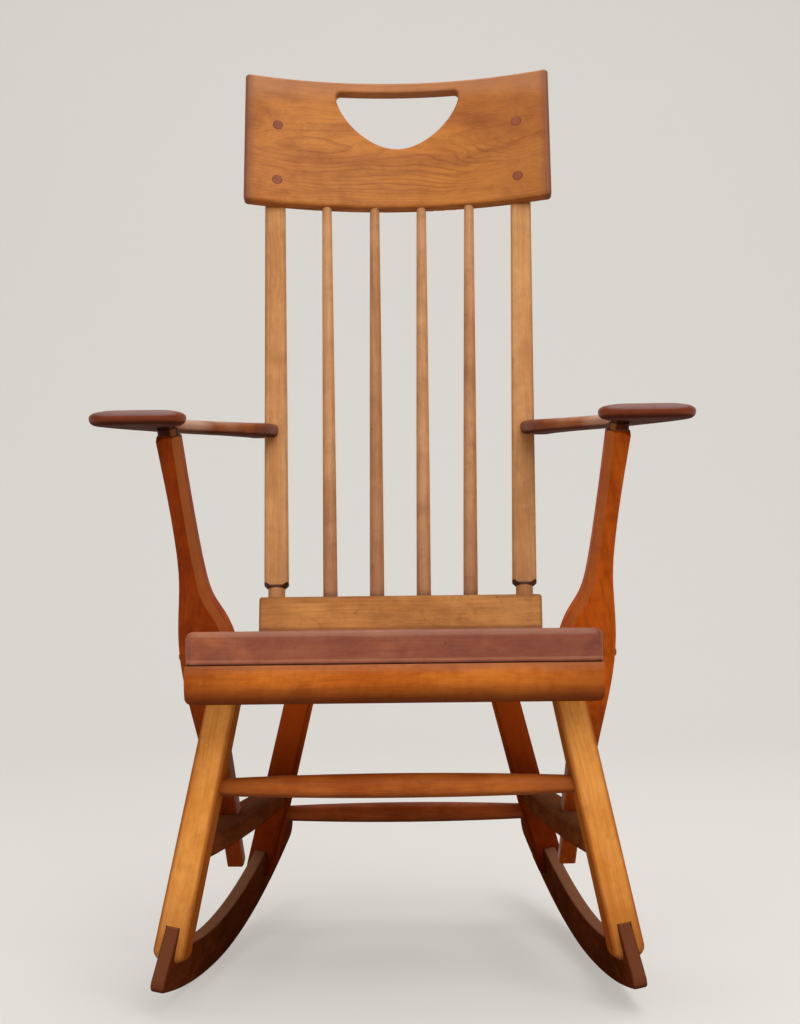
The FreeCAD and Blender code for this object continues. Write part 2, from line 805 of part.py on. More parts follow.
def armScrewLine():
    """A screw, square to the raked post, whose run in the arm is centred in its thickness."""
    runInArm = armScrewLength + armPlugDepth - postThickness
    height = armTopHeight - armThickness / 2
    along = (height - backFoot.z + backRear.z * (postThickness + runInArm) / 2) / backUp.z
    head = backPoint(armRearInner + armThickness / 2, along, postThickness / 2 - armPlugDepth)
    return head, head - backRear * armScrewLength


def sweepThrough(points, index, direction):
    """A smooth curve through the points, its direction given at one of them."""
    curve = Part.BSplineCurve()
    flags = [position == index for position in range(len(points))]
    curve.interpolate(Points=points, Tangents=[direction] * len(points), TangentFlags=flags)
    return curve


def makeArm():
    """The left arm: a paddle that sweeps in to a narrow end, notched round the post."""
    rearReach = backPoint(0, (armTopHeight - backFoot.z) / backUp.z, 0).y + armRearOverhang
    length = rearReach - armFrontReach
    rearOuter = armRearInner + armRearWidth

    def at(spread, share):
        return Vector(spread, armFrontReach + length * share, 0)

    def between(share):
        return rearOuter + (armOuterHalfSpan - rearOuter) * share

    inner = [
        at(armRearInner, 1), at(armRearInner + armRearWidth * armRearBendShare, armInnerBendReachShare),
        at(between(armWaistInShare), armWaistReachShare),
        at(between(armHeelInShare), armHeelReachShare),
        at(between(armToeInShare), 0),
    ]
    outer = [
        at(between(armToeOutShare), 0), at(between(1), armBulgeReachShare),
        at(between(armWaistOutShare), armOuterWaistReachShare),
        at(between(armNarrowOutShare), armOuterNarrowReachShare),
        at(between(armBendOutShare), armOuterBendReachShare),
        at(rearOuter, 1),
    ]
    innerCurve = sweepThrough(inner, len(inner) - 1, acrossAxis)
    outerCurve = sweepThrough(outer, 0, acrossAxis)
    edges = [
        innerCurve.toShape(),
        *chain([inner[-1], outer[0]]),
        outerCurve.toShape(),
        *chain([outer[-1], inner[0]]),
    ]
    blade = Part.Face(Part.Wire(edges)).extrude(Vector(0, 0, armThickness))
    upright = edgesAlong(blade, lambda e: alongDirection(e, upAxis) and (
        e.CenterOfMass.y > rearReach - glueGap))
    blade = blade.makeFillet(armRearRound, upright)
    rims = edgesAlong(blade, lambda e: not alongDirection(e, upAxis))
    blade = blade.makeFillet(armEdgeRound, rims)
    blade.translate(Vector(0, 0, armTopHeight - armThickness))
    return blade


def postNotch():
    """The room for the post and all that lies inward of it and behind its front."""
    foot, top = postLine()
    direction = unit(top - foot)
    climbed = (armTopHeight - armThickness / 2 - foot.z) / direction.z
    share = climbed / (top - foot).Length
    half = (postFootWidth + (postTopWidth - postFootWidth) * share) / 2 + glueGap
    room = Part.makeBox(half + armRearWidth, postThickness + 2 * armRearOverhang, 4 * armThickness)
    room.translate(Vector(-armRearWidth, -postThickness / 2 - glueGap, -2 * armThickness))
    across = unit(acrossAxis - direction * direction.x)
    return placed(room, foot + direction * climbed, across, direction.cross(across))


def finishArm(blade):
    """Notch the blade for the post and bore it for the support and the screw."""
    blade = blade.cut(postNotch())
    blade = blade.cut(supportTenon(glueGap))
    head, tip = armScrewLine()
    return blade.cut(rod(head, tip, screwRadius + glueGap))


# Arm supports
def supportAxisPoint(height):
    share = (height - supportAxisFootHeight) / (armTopHeight - armThickness - supportAxisFootHeight)
    foot = Vector(supportAxisFoot, supportFootReach, supportAxisFootHeight)
    top = Vector(supportAxisTop, supportTopReach, armTopHeight - armThickness)
    return foot + (top - foot) * share


supportTurn = math.radians(supportTurnAngle)
supportOut = Vector(math.cos(supportTurn), math.sin(supportTurn), 0)
supportRear = Vector(-math.sin(supportTurn), math.cos(supportTurn), 0)
supportSeatHeight = seatTopAt((supportTopReach + supportFootReach) / 2)
supportBodyTop = armTopHeight - armThickness - supportNeckLength


def supportTenon(gap):
    top = supportAxisPoint(armTopHeight - armThickness)
    low = top - upAxis * supportNeckLength
    return rod(low, top + upAxis * (supportTenonDepth + gap), supportTenonRadius + gap)


# Inner edge: height from the seat to the neck, then inward from the width to the flare
supportInnerShares = (
    (1.0, 0.0),
    (0.73, 0.01),
    (0.5, 0.05),
    (0.31, 0.13),
    (0.18, 0.35),
    (0.09, 0.74),
    (0.0, 1.0),
    (-0.08, 1.1),
)
# Outer edge: the same heights, then outward; below 0 they run down to the stretcher
supportOuterShares = (
    (1.0, 0.0),
    (0.75, -0.22),
    (0.5, -0.3),
    (0.3, -0.08),
    (0.12, 0.55),
    (-0.05, 0.98),
    (-0.25, 1.0),
    (-0.5, 0.62),
    (-0.75, 0.28),
    (-1.0, 0.1),
)


def throughPoints(points):
    curve = Part.BSplineCurve()
    curve.interpolate(points)
    return curve.toShape()


def makeSupport(seatRoom):
    """The left arm support: a flared stick, notched over the seat's edge."""
    half = supportTopWidth / 2
    shoulder = sideStretcherHeight + sideStretcherThickness / 2 + seatGap
    rise = supportBodyTop - supportSeatHeight
    drop = supportSeatHeight - shoulder
    origin = supportAxisPoint(shoulder)
    axis = unit(supportAxisPoint(supportBodyTop) - origin)
    across = unit(supportOut - axis * supportOut.dot(axis))

    def level(share):
        height = supportSeatHeight + (rise if share > 0 else drop) * share
        return (height - shoulder) / axis.z

    inner = [Vector(-half - (supportFlareIn - half) * reach, level(share), 0)
             for share, reach in supportInnerShares]
    outer = [Vector(half + (supportFlareOut - half) * reach, level(share), 0)
             for share, reach in supportOuterShares]
    step = Vector(-half, inner[-1].y, 0)
    foot = Vector(-half, 0, 0)
    edges = [
        throughPoints(inner),
        *chain([inner[-1], step, foot, outer[-1]]),
        throughPoints(outer[::-1]),
        *chain([outer[0], inner[0]]),
    ]
    front = Part.Face(Part.Wire(edges)).extrude(Vector(0, 0, 2 * supportSeatDepth))
    front.translate(Vector(0, 0, -supportSeatDepth))
    profile = ((1.0, supportTopDepth), (0.0, supportSeatDepth), (-1.0, supportShoulderDepth))
    corners = [Vector(0, level(share), depth / 2) for share, depth in profile]
    corners += [Vector(0, level(share), -depth / 2) for share, depth in profile[::-1]]
    side = Part.Face(Part.makePolygon(corners + corners[:1])).extrude(acrossAxis * (4 * supportSeatDepth))
    side.translate(acrossAxis * (-2 * supportSeatDepth))
    # A wide chamfer along the inner front edge: the space beside that edge, swept aside
    outside = -supportFlareIn - supportInnerChamfer * 2
    beside = [
        throughPoints(inner),
        *chain([inner[-1], Vector(outside, inner[-1].y, 0), Vector(outside, inner[0].y, 0), inner[0]]),
    ]
    sweepAside = Vector(supportInnerChamfer * 2, 0, supportInnerChamfer * 2)
    bevel = Part.Face(Part.Wire(beside)).extrude(sweepAside)
    bevel.translate(Vector(0, 0, supportSeatDepth / 2 - supportInnerChamfer))
    body = front.common(side).cut(bevel)
    longEdges = edgesAlong(body, lambda e: e.BoundBox.YLength > 2 * supportTopWidth)
    body = placed(body.makeFillet(supportEdgeRound, longEdges), origin, across, axis)
    body = body.cut(seatRoom)
    body = biggest(body)
    neckTop = supportAxisPoint(armTopHeight - armThickness)
    neckFoot = supportAxisPoint(supportBodyTop)
    direction = unit(neckTop - neckFoot)
    collar = Part.makeCylinder(2 * supportTopWidth, supportTopWidth, neckFoot, -direction)
    flare = Part.makeCone(supportNeckRadius, supportNeckRadius + supportTopWidth, supportTopWidth,
                          neckFoot, -direction)
    body = body.cut(collar.cut(flare))
    neck = rod(neckFoot - direction * supportChamferLength, neckTop, supportNeckRadius)
    trim = Part.makeBox(4 * supportTopWidth, 4 * supportTopWidth, supportTopWidth)
    trim.translate(neckTop - Vector(2 * supportTopWidth, 2 * supportTopWidth, seatGap))
    neck = neck.cut(trim)
    body = body.fuse([neck, supportTenon(0), supportTongue(0)]).removeSplitter()
    head, tip = supportScrewLines()[1]
    inward = unit(tip - head)
    body = body.cut(screwHole(head, tip))
    outside = head - inward * (2 * supportFlareOut)
    return body.cut(rod(head + inward * glueGap, outside, supportButtonRadius + glueGap))


def supportTongue(gap):
    """The tongue through the side stretcher, with a rounded tip below it."""
    top = sideStretcherHeight + sideStretcherThickness / 2 + cutOverrun
    bottom = sideStretcherHeight - sideStretcherThickness / 2 - supportTongueBelow
    width = supportTongueWidth + 2 * gap
    depth = supportTongueDepth + 2 * gap
    rings = []
    for height in (top, bottom):
        ring = roundedRectangle(-width / 2, width / 2, -depth / 2, depth / 2, supportEdgeRound)
        rings.append(placed(ring, supportAxisPoint(height), supportOut, supportRear))
    tongue = Part.makeLoft(rings, True, True)
    if gap:
        return tongue
    # A half-round end, seen from the front
    end = supportAxisPoint(bottom)
    axis = unit(supportAxisPoint(top) - end)
    half = width / 2 + cutOverrun
    crown = width / 2
    high = (supportAxisPoint(top) - end).Length + cutOverrun
    left = Vector(-half, crown, 0)
    right = Vector(half, crown, 0)
    edges = [
        *chain([right, Vector(half, high, 0), Vector(-half, high, 0), left]),
        arc(left, Vector(0, 0, 0), right),
    ]
    outline = Part.Face(Part.Wire(edges)).extrude(Vector(0, 0, 2 * depth))
    outline.translate(Vector(0, 0, -depth))
    across = unit(supportOut - axis * supportOut.dot(axis))
    return tongue.common(placed(outline, end, across, axis))


def supportScrewLines():
    """A screw through each support into the seat's edge, its head under a button."""
    level = supportSeatHeight - supportScrewBelowSeat
    axis = supportAxisPoint(level)
    face = axis + supportOut * supportFlareOut
    inward = -supportOut
    head = face + inward * supportButtonDepth
    tip = head + inward * supportScrewLength
    flip = [Vector(-point.x, point.y, point.z) for point in (head, tip)]
    return [tuple(flip), (head, tip)]


def makeSupportButton(head, tip):
    """A domed button that hides the screw's head."""
    outward = unit(head - tip)
    start = Vector(0, 0, glueGap)
    rim = Vector(supportButtonRadius, 0, supportButtonDepth)
    crown = Vector(0, 0, supportButtonDepth + supportButtonRise)
    domeRadius = (supportButtonRadius ** 2 + supportButtonRise ** 2) / (2 * supportButtonRise)
    middle = Vector(supportButtonRadius / 2, 0, crown.z - domeRadius + math.sqrt(
        domeRadius ** 2 - (supportButtonRadius / 2) ** 2))
    edges = [
        *chain([start, Vector(supportButtonRadius, 0, glueGap), rim]),
        arc(rim, middle, crown),
        *chain([crown, start]),
    ]
    button = Part.Face(Part.Wire(edges)).revolve(Vector(0, 0, 0), upAxis, 360)
    button.Placement = FreeCAD.Placement(head, FreeCAD.Rotation(upAxis, outward))
    return button


# Stretchers
def turnedStretcher(axis, height, endRadius, middleRadius):
    """A turned bar whose straight ends go into a pair of legs."""
    left = axisPoint(axis, height) - acrossAxis * (legWidth / 2 + stretcherStraightRun)
    right = Vector(-left.x, left.y, left.z)
    return turned(left, right, stretcherStraightRun + stretcherTenonDepth, (endRadius, endRadius),
                  (endRadius, middleRadius, endRadius))


def turnedSocket(axis, height, endRadius):
    """The round socket in the left leg for such a bar."""
    mouth = axisPoint(axis, height) - acrossAxis * (legWidth / 2 + stretcherStraightRun)
    depth = stretcherStraightRun + stretcherTenonDepth + glueGap
    return rod(mouth, mouth + acrossAxis * depth, endRadius + glueGap)


def sideStretcherEnds():
    front = axisPoint(frontLegAxis, sideStretcherHeight)
    rear = axisPoint(rearLegAxis, sideStretcherHeight)
    return front, rear


def makeSideStretcher():
    """A flat lens-shaped bar with round tenons and a mortise for the support."""
    front, rear = sideStretcherEnds()
    direction = unit(rear - front)
    across = unit(direction.cross(upAxis))
    start = front + direction * (legTopDepth / 2)
    end = rear - direction * (legTopDepth / 2)
    length = (end - start).Length
    half = sideStretcherEndWidth / 2
    belly = sideStretcherMiddleWidth / 2
    nearOuter = Vector(half, 0, 0)
    nearInner = Vector(-half, 0, 0)
    farOuter = Vector(half, length, 0)
    farInner = Vector(-half, length, 0)
    edges = [
        arc(nearOuter, Vector(belly, length / 2, 0), farOuter),
        *chain([farOuter, farInner]),
        arc(farInner, Vector(-belly, length / 2, 0), nearInner),
        *chain([nearInner, nearOuter]),
    ]
    lens = Part.Face(Part.Wire(edges)).extrude(Vector(0, 0, sideStretcherThickness))
    lens.translate(Vector(0, 0, -sideStretcherThickness / 2))
    rims = edgesAlong(lens, lambda e: e.Curve.TypeId == "Part::GeomCircle")
    lens = lens.makeFillet(sideStretcherRound, rims)
    lens = placed(lens, start, across, direction)
    tenon = rod(start - direction * stretcherTenonDepth, end + direction * stretcherTenonDepth,
                stretcherTenonRadius)
    return lens, tenon


def sideTenonRoom():
    """The sockets of the side stretcher's tenons, a little wider and deeper than they are."""
    front, rear = sideStretcherEnds()
    direction = unit(rear - front)
    inset = direction * (legTopDepth / 2 - stretcherTenonDepth - glueGap)
    return rod(front + inset, rear - inset, stretcherTenonRadius + glueGap)


def biggest(shape):
    return sorted(shape.Solids, key=lambda solid: solid.Volume)[-1]


def middleReach(nodes):
    """Halfway between the frontmost and the rearmost point of all pieces."""
    boxes = [shape.optimalBoundingBox(False) for group in nodes.values() for shape in group]
    return (min(box.YMin for box in boxes) + max(box.YMax for box in boxes)) / 2


def saveNode(name, group, originReach):
    solids = [solid for shape in group for solid in shape.Solids]
    result = solids[0] if len(solids) == 1 else Part.makeCompound(solids)
    result = result.copy()
    result.translate(Vector(0, -originReach, 0))
    result.exportStep(os.path.join("parts", name + ".step"))
    print(name, len(solids), "solids", "valid" if result.isValid() else "NOT VALID", round(result.Volume))


def makeUndercarriage():
    """Legs, rockers, stretchers and pins: the left ones of each pair, and the single ones."""
    frontSlot, rearSlot = makeRockerSlots()
    rocker = makeRocker()
    pins = [pinEnds(point) for point in pinPoints()]
    frontLeg = makeLeg(frontLegAxis, frontLegEndHeight, frontSlot)
    rearLeg = makeLeg(rearLegAxis, rearLegEndHeight, rearSlot)
    lens, lensTenon = makeSideStretcher()
    sideStretcher = biggest(lens.cut([frontLeg, rearLeg])).fuse(lensTenon).removeSplitter()
    sideStretcher = sideStretcher.cut(supportTongue(glueGap))
    sideSocket = sideTenonRoom()
    frontSocket = turnedSocket(frontLegAxis, frontStretcherHeight, frontStretcherEndRadius)
    rearSocket = turnedSocket(rearLegAxis, rearStretcherHeight, rearStretcherEndRadius)
    frontLeg = frontLeg.cut([frontSocket, sideSocket])
    rearLeg = rearLeg.cut([rearSocket, sideSocket])
    for start, end in pins:
        room = rod(start + rockerOut * cutOverrun, end - rockerOut * glueGap, rockerPinRadius + glueGap)
        frontLeg = frontLeg.cut(room)
        rearLeg = rearLeg.cut(room)
        rocker = rocker.cut(room)
    pairs = {
        "rocker": rocker,
        "front_leg": frontLeg,
        "rear_leg": rearLeg,
        "side_stretcher": sideStretcher,
    }
    rockerPins = [rod(start, end, rockerPinRadius) for start, end in pins]
    single = {
        "front_stretcher": [turnedStretcher(
            frontLegAxis, frontStretcherHeight, frontStretcherEndRadius, frontStretcherMiddleRadius)],
        "rear_stretcher": [turnedStretcher(
            rearLegAxis, rearStretcherHeight, rearStretcherEndRadius, rearStretcherMiddleRadius)],
        "rocker_pins": rockerPins + [mirrored(pin) for pin in rockerPins],
    }
    return pairs, single


def makeFixings():
    """Screws, plugs, buttons and dowels, each kind in one group."""
    armHead, armTip = armScrewLine()
    armScrew = screw(armHead, armTip)
    armPlug = rod(armHead + backRear * glueGap, armHead + backRear * armPlugDepth, armPlugRadius)
    return {
        "crest_plugs": makeCrestPlugs(),
        "crest_screws": [screw(head, tip) for head, tip in crestScrewLines()],
        "support_buttons": [makeSupportButton(head, tip) for head, tip in supportScrewLines()],
        "support_screws": [screw(head, tip) for head, tip in supportScrewLines()],
        "arm_screws": [armScrew, mirrored(armScrew)],
        "arm_plugs": [armPlug, mirrored(armPlug)],
        "riser_screws": [screw(head, tip) for head, tip in riserScrewLines()],
        "apron_dowels": [rod(start, end, apronDowelRadius) for start, end in apronDowelLines()],
    }


def main():
    os.makedirs("parts", exist_ok=True)
    pairs, nodes = makeUndercarriage()
    pairs["arm_support"] = makeSupport(seatBlank(seatGap))
    pairs["arm"] = finishArm(makeArm())
    pairs["back_post"] = makePost()
    for name, shape in pairs.items():
        nodes[name + "_left"] = [shape]
        nodes[name + "_right"] = [mirrored(shape)]
    nodes["seat_plank"] = [makeSeat()]
    nodes["seat_front_apron"] = [makeApron()]
    nodes["seat_riser"] = [makeRiser()]
    nodes["crest_rail"] = [makeCrest()]
    for index, (foot, top) in enumerate(spindleLines()):
        nodes["spindle_" + str(index + 1)] = [makeSpindle(foot, top)]
    nodes.update(makeFixings())
    originReach = middleReach(nodes)
    print("origin behind the seat's front edge by", round(originReach, 2))
    for name, group in nodes.items():
        saveNode(name, group, originReach)


main()
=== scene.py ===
import math
import random

import bmesh
import bpy
from mathutils import Matrix, Vector
from mathutils.bvhtree import BVHTree


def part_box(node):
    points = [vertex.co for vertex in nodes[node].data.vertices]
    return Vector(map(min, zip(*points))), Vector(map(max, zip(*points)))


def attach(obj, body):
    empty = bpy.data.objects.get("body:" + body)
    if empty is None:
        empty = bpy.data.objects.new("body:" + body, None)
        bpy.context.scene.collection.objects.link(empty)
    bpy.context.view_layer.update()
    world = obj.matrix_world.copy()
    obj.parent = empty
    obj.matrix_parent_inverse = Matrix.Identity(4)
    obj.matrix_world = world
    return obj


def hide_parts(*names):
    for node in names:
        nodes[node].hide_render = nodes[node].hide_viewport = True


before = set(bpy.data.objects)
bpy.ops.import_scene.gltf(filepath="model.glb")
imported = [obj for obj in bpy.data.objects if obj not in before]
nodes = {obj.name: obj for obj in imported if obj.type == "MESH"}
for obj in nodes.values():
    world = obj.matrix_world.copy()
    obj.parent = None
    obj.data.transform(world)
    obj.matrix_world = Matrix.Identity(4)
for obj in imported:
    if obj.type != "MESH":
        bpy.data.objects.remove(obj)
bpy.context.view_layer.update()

joinWithin = 0.00001  # points closer than this are one
print("loaded", len(nodes), "nodes")


def tint(red, green, blue):
    # a colour as a paint program shows it, turned to the linear value the shader wants
    def linear(channel):
        share = channel / 255
        return share / 12.92 if share <= 0.04045 else ((share + 0.055) / 1.055) ** 2.4
    return (linear(red), linear(green), linear(blue), 1.0)


def addObject(name, data):
    thing = bpy.data.objects.new(name, data)
    bpy.context.scene.collection.objects.link(thing)
    return thing


cameraPlace = {
    "position": Vector((0.0454, -2.4368, 0.5218)),
    "looking": Vector((-0.01768, 0.99984, -0.00581)),
    "rollDegrees": 0.736,
    "lens": 49.48,
    "sensorHeight": 24.0,
}


def makeCamera():
    forward = cameraPlace["looking"].normalized()
    right = forward.cross(Vector((0, 0, 1))).normalized()
    up = right.cross(forward)
    turn = Matrix((right, up, -forward)).transposed().to_4x4()
    roll = Matrix.Rotation(-math.radians(cameraPlace["rollDegrees"]), 4, "Z")
    data = bpy.data.cameras.new("photoCamera")
    data.sensor_fit = "VERTICAL"
    data.sensor_height = cameraPlace["sensorHeight"]
    data.lens = cameraPlace["lens"]
    camera = addObject("photoCamera", data)
    camera.matrix_world = Matrix.Translation(cameraPlace["position"]) @ turn @ roll
    bpy.context.scene.camera = camera


makeCamera()
print("camera placed")


# small helpers for shader and geometry trees
def newMaterial(name):
    material = bpy.data.materials.new(name)
    material.use_nodes = True
    tree = material.node_tree
    shader = next(n for n in tree.nodes if n.type == "BSDF_PRINCIPLED")
    return material, tree, shader


def plug(tree, socket, value):
    if isinstance(value, bpy.types.NodeSocket):
        tree.links.new(value, socket)
    else:
        socket.default_value = value


def fillInputs(tree, node, **values):
    # an input's name is written with _ for its spaces
    for key, value in values.items():
        plug(tree, node.inputs[key.replace("_", " ")], value)


def addNode(tree, kind, settings=None, **values):
    node = tree.nodes.new(kind)
    for key, value in (settings or {}).items():
        setattr(node, key, value)
    fillInputs(tree, node, **values)
    return node


def calculate(tree, operation, first, second=0.0, third=0.0):
    node = tree.nodes.new("ShaderNodeMath")
    node.operation = operation
    for socket, value in zip(node.inputs, (first, second, third)):
        plug(tree, socket, value)
    return node.outputs[0]


def multiply(tree, first, second):
    return calculate(tree, "MULTIPLY", first, second)


def vectorMath(tree, operation, first, second=(0.0, 0.0, 0.0), scale=1.0):
    node = tree.nodes.new("ShaderNodeVectorMath")
    node.operation = operation
    plug(tree, node.inputs[0], first)
    plug(tree, node.inputs[1], second)
    node.inputs[3].default_value = scale
    return node.outputs["Value" if operation in ("DOT_PRODUCT", "LENGTH") else "Vector"]


def splitVector(tree, vector):
    return addNode(tree, "ShaderNodeSeparateXYZ", Vector=vector).outputs


def joinVector(tree, *parts):
    node = tree.nodes.new("ShaderNodeCombineXYZ")
    for socket, part in zip(node.inputs, parts):
        plug(tree, socket, part)
    return node.outputs[0]


def attribute(tree, label, output="Fac"):
    return addNode(tree, "ShaderNodeAttribute", {"attribute_name": label}).outputs[output]


def mixColour(tree, share, first, second):
    node = tree.nodes.new("ShaderNodeMix")
    node.data_type = "RGBA"
    for index, value in ((0, share), (6, first), (7, second)):
        plug(tree, node.inputs[index], value)
    return node.outputs[2]


def spread(tree, value, low, high, newLow=0.0, newHigh=1.0):
    node = tree.nodes.new("ShaderNodeMapRange")
    node.interpolation_type = "SMOOTHSTEP"
    for socket, number in zip(node.inputs, (value, low, high, newLow, newHigh)):
        plug(tree, socket, number)
    return node.outputs[0]


def stretched(tree, vector, along, across):
    # grain runs along the pattern's own X, so a small number there draws it out
    return vectorMath(tree, "MULTIPLY", vector, (along, across, across))


def noise(tree, vector, scale, detail=3.0, roughness=0.5, distortion=0.0, colour=False):
    node = addNode(tree, "ShaderNodeTexNoise", Vector=vector, Scale=scale, Detail=detail, Roughness=roughness,
                   Distortion=distortion)
    return node.outputs[1 if colour else 0]


def edgeGap(tree, place, outline):
    # how far a point lies from the nearest long edge of a bar, or from the border of a board
    foot = Vector(outline["foot"])
    along = Vector(outline["head"]) - foot
    length = along.length
    axis = along / length
    sideways = Vector(outline["sideways"])
    across = (sideways - axis * sideways.dot(axis)).normalized()
    depth = axis.cross(across)
    offset = vectorMath(tree, "SUBTRACT", place, foot)
    reach = calculate(tree, "DIVIDE", vectorMath(tree, "DOT_PRODUCT", offset, axis), length)
    gaps = []
    for direction, low, high in zip((across, depth), outline["halfFoot"], outline["halfHead"]):
        half = calculate(tree, "MULTIPLY_ADD", reach, high - low, low)
        aside = calculate(tree, "ABSOLUTE", vectorMath(tree, "DOT_PRODUCT", offset, direction))
        gaps.append(calculate(tree, "SUBTRACT", half, aside))
    if outline.get("rims", "long") == "long":
        return calculate(tree, "MAXIMUM", gaps[0], gaps[1])
    fromMiddle = calculate(tree, "ABSOLUTE", calculate(tree, "SUBTRACT", reach, 0.5))
    endGap = multiply(tree, calculate(tree, "SUBTRACT", 0.5, fromMiddle), length)
    return endGap if outline["rims"] == "ends" else calculate(tree, "MINIMUM", gaps[0], endGap)


# what all the woods share until a piece says otherwise; sizes in metres
woodDefaults = {
    "grain": (1, 0, 0),
    "heart": (0.0, 0.09, -0.14),  # where the tree's middle lay, from the piece's middle
    "ringSpacing": 0.0045,
    "ringStrength": 0.22,
    "ringRuffle": 1.6,
    "ovalShare": 0.09,  # how long the rings' ovals are drawn out, 0 for straight lines
    "bandStrength": 0.22,  # broad darker bands along the grain
    "mottle": 0.34,  # soft handled patches that ignore the grain
    "fibreStrength": 0.22,
    "curlStrength": 0.05,  # faint bands across the grain
    "blotchScale": 9.0,  # patches of tone per metre
    "blotchShare": 0.7,
    "patchShare": 0.45,
    "fleckStrength": 0.40,
    "fleckColour": tint(80, 34, 12),
    "nickAmount": 0.55,
    "nickColour": tint(62, 28, 12),
    "nicksPerMetre": 34.0,
    "nickDepth": 1.5,
    "edges": None,
    "edgeWidth": 0.0030,
    "edgeRuffle": 0.004,
    "edgeAmount": 0.45,
    "edgeColour": tint(104, 54, 26),
    "underside": 0.55,  # painted shade on surfaces that face down
    "undersideColour": tint(70, 26, 8),
    "shades": (),
    "faces": (),
    "dullUnderside": 0.45,  # added to the roughness where nothing was rubbed
    "dullStreaks": 0.08,
    "grime": 0.22,
    "grimeColour": tint(92, 48, 24),
    "roughness": (0.36, 0.50),
    "gloss": 0.12,
    "coat": 0.04,
    "coatRoughness": 0.26,
    "bump": 0.10,
    "bumpHeight": 0.0012,
    "ringRelief": 0.25,
    "swells": 1.6,
    "pits": 0.25,
    "wander": 0.030,
}
# marks that follow the grain: times per metre along it and across it, scale, detail, roughness, distortion
grainMarks = {
    "wander": (2.2, 7.0, 1.6, 3.0, 0.50, 0.0),
    "lineFade": (3.0, 22.0, 1.0, 4.0, 0.60, 0.0),
    "band": (14.0, 36.0, 1.0, 3.0, 0.55, 0.0),
    "fibre": (14.0, 620.0, 1.0, 5.0, 0.62, 0.0),
    "streak": (4.0, 130.0, 1.0, 5.0, 0.60, 0.0),
    "curl": (80.0, 16.0, 1.0, 3.0, 0.50, 0.8),
    "fleck": (130.0, 1300.0, 1.0, 2.0, 0.50, 0.0),
    "blotch": (0.55, 1.0, 1.0, 5.0, 0.62, 0.5),
    "patch": (0.70, 1.2, 4.6, 5.0, 0.62, 0.4),
}
# marks that ignore the grain: times per metre, detail, roughness, distortion
plainMarks = {
    "fleckPatch": (22.0, 3.0, 0.50, 0.0),
    "cloud": (2.0, 6.0, 0.68, 0.6),
    "ruffle": (18.0, 4.0, 0.60, 0.0),
    "grime": (55.0, 5.0, 0.70, 0.0),
    "sheen": (24.0, 4.0, 0.60, 0.0),
    "swell": (9.0, 2.0, 0.50, 0.0),
    "pit": (140.0, 3.0, 0.50, 0.0),
}
# the value of its pattern where each mark begins, and where it is full
markLimits = {
    "ring": (0.55, 1.0), "lineFade": (0.38, 0.66), "fleckPatch": (0.42, 0.64), "fleck": (0.62, 0.74),
    "tone": (0.44, 0.70), "cloud": (0.50, 0.74), "band": (0.46, 0.72), "streak": (0.44, 0.68),
    "darkFibre": (0.44, 0.72), "lightFibre": (0.50, 0.34), "grime": (0.56, 0.78), "sheen": (0.3, 0.7),
    "nick": (0.055, 0.025), "chosenNick": (0.72, 0.74), "downward": (0.30, 0.85),
}
ringPeriod = 0.314  # of Blender's ring pattern at scale 1
stripFade = 1.25  # a shade kept "within" a strip is gone at this times its half width


def grainedPlace(tree, place, centre, spec):
    turn = Vector(spec["grain"]).rotation_difference(Vector((1, 0, 0)))
    shift = -(turn @ Vector(centre)) + Vector(spec["heart"]) + Vector((spec.get("slide", 0.0), 0, 0))
    lined = addNode(tree, "ShaderNodeMapping", Vector=place, Rotation=turn.to_euler(), Location=shift)
    return lined.outputs[0]


def grainMark(tree, place, name, times=1.0, drawnOut=1.0, colour=False):
    along, across, scale, *rest = grainMarks[name]
    return noise(tree, stretched(tree, place, along * drawnOut, across), scale * times, *rest, colour)


def plainMark(tree, place, name, times=1.0):
    scale, *rest = plainMarks[name]
    return noise(tree, place, scale * times, *rest)


def shown(tree, pattern, name, full=1.0, clear=0.0):
    begins, whole = markLimits[name]
    return spread(tree, pattern, begins, whole, clear, full)


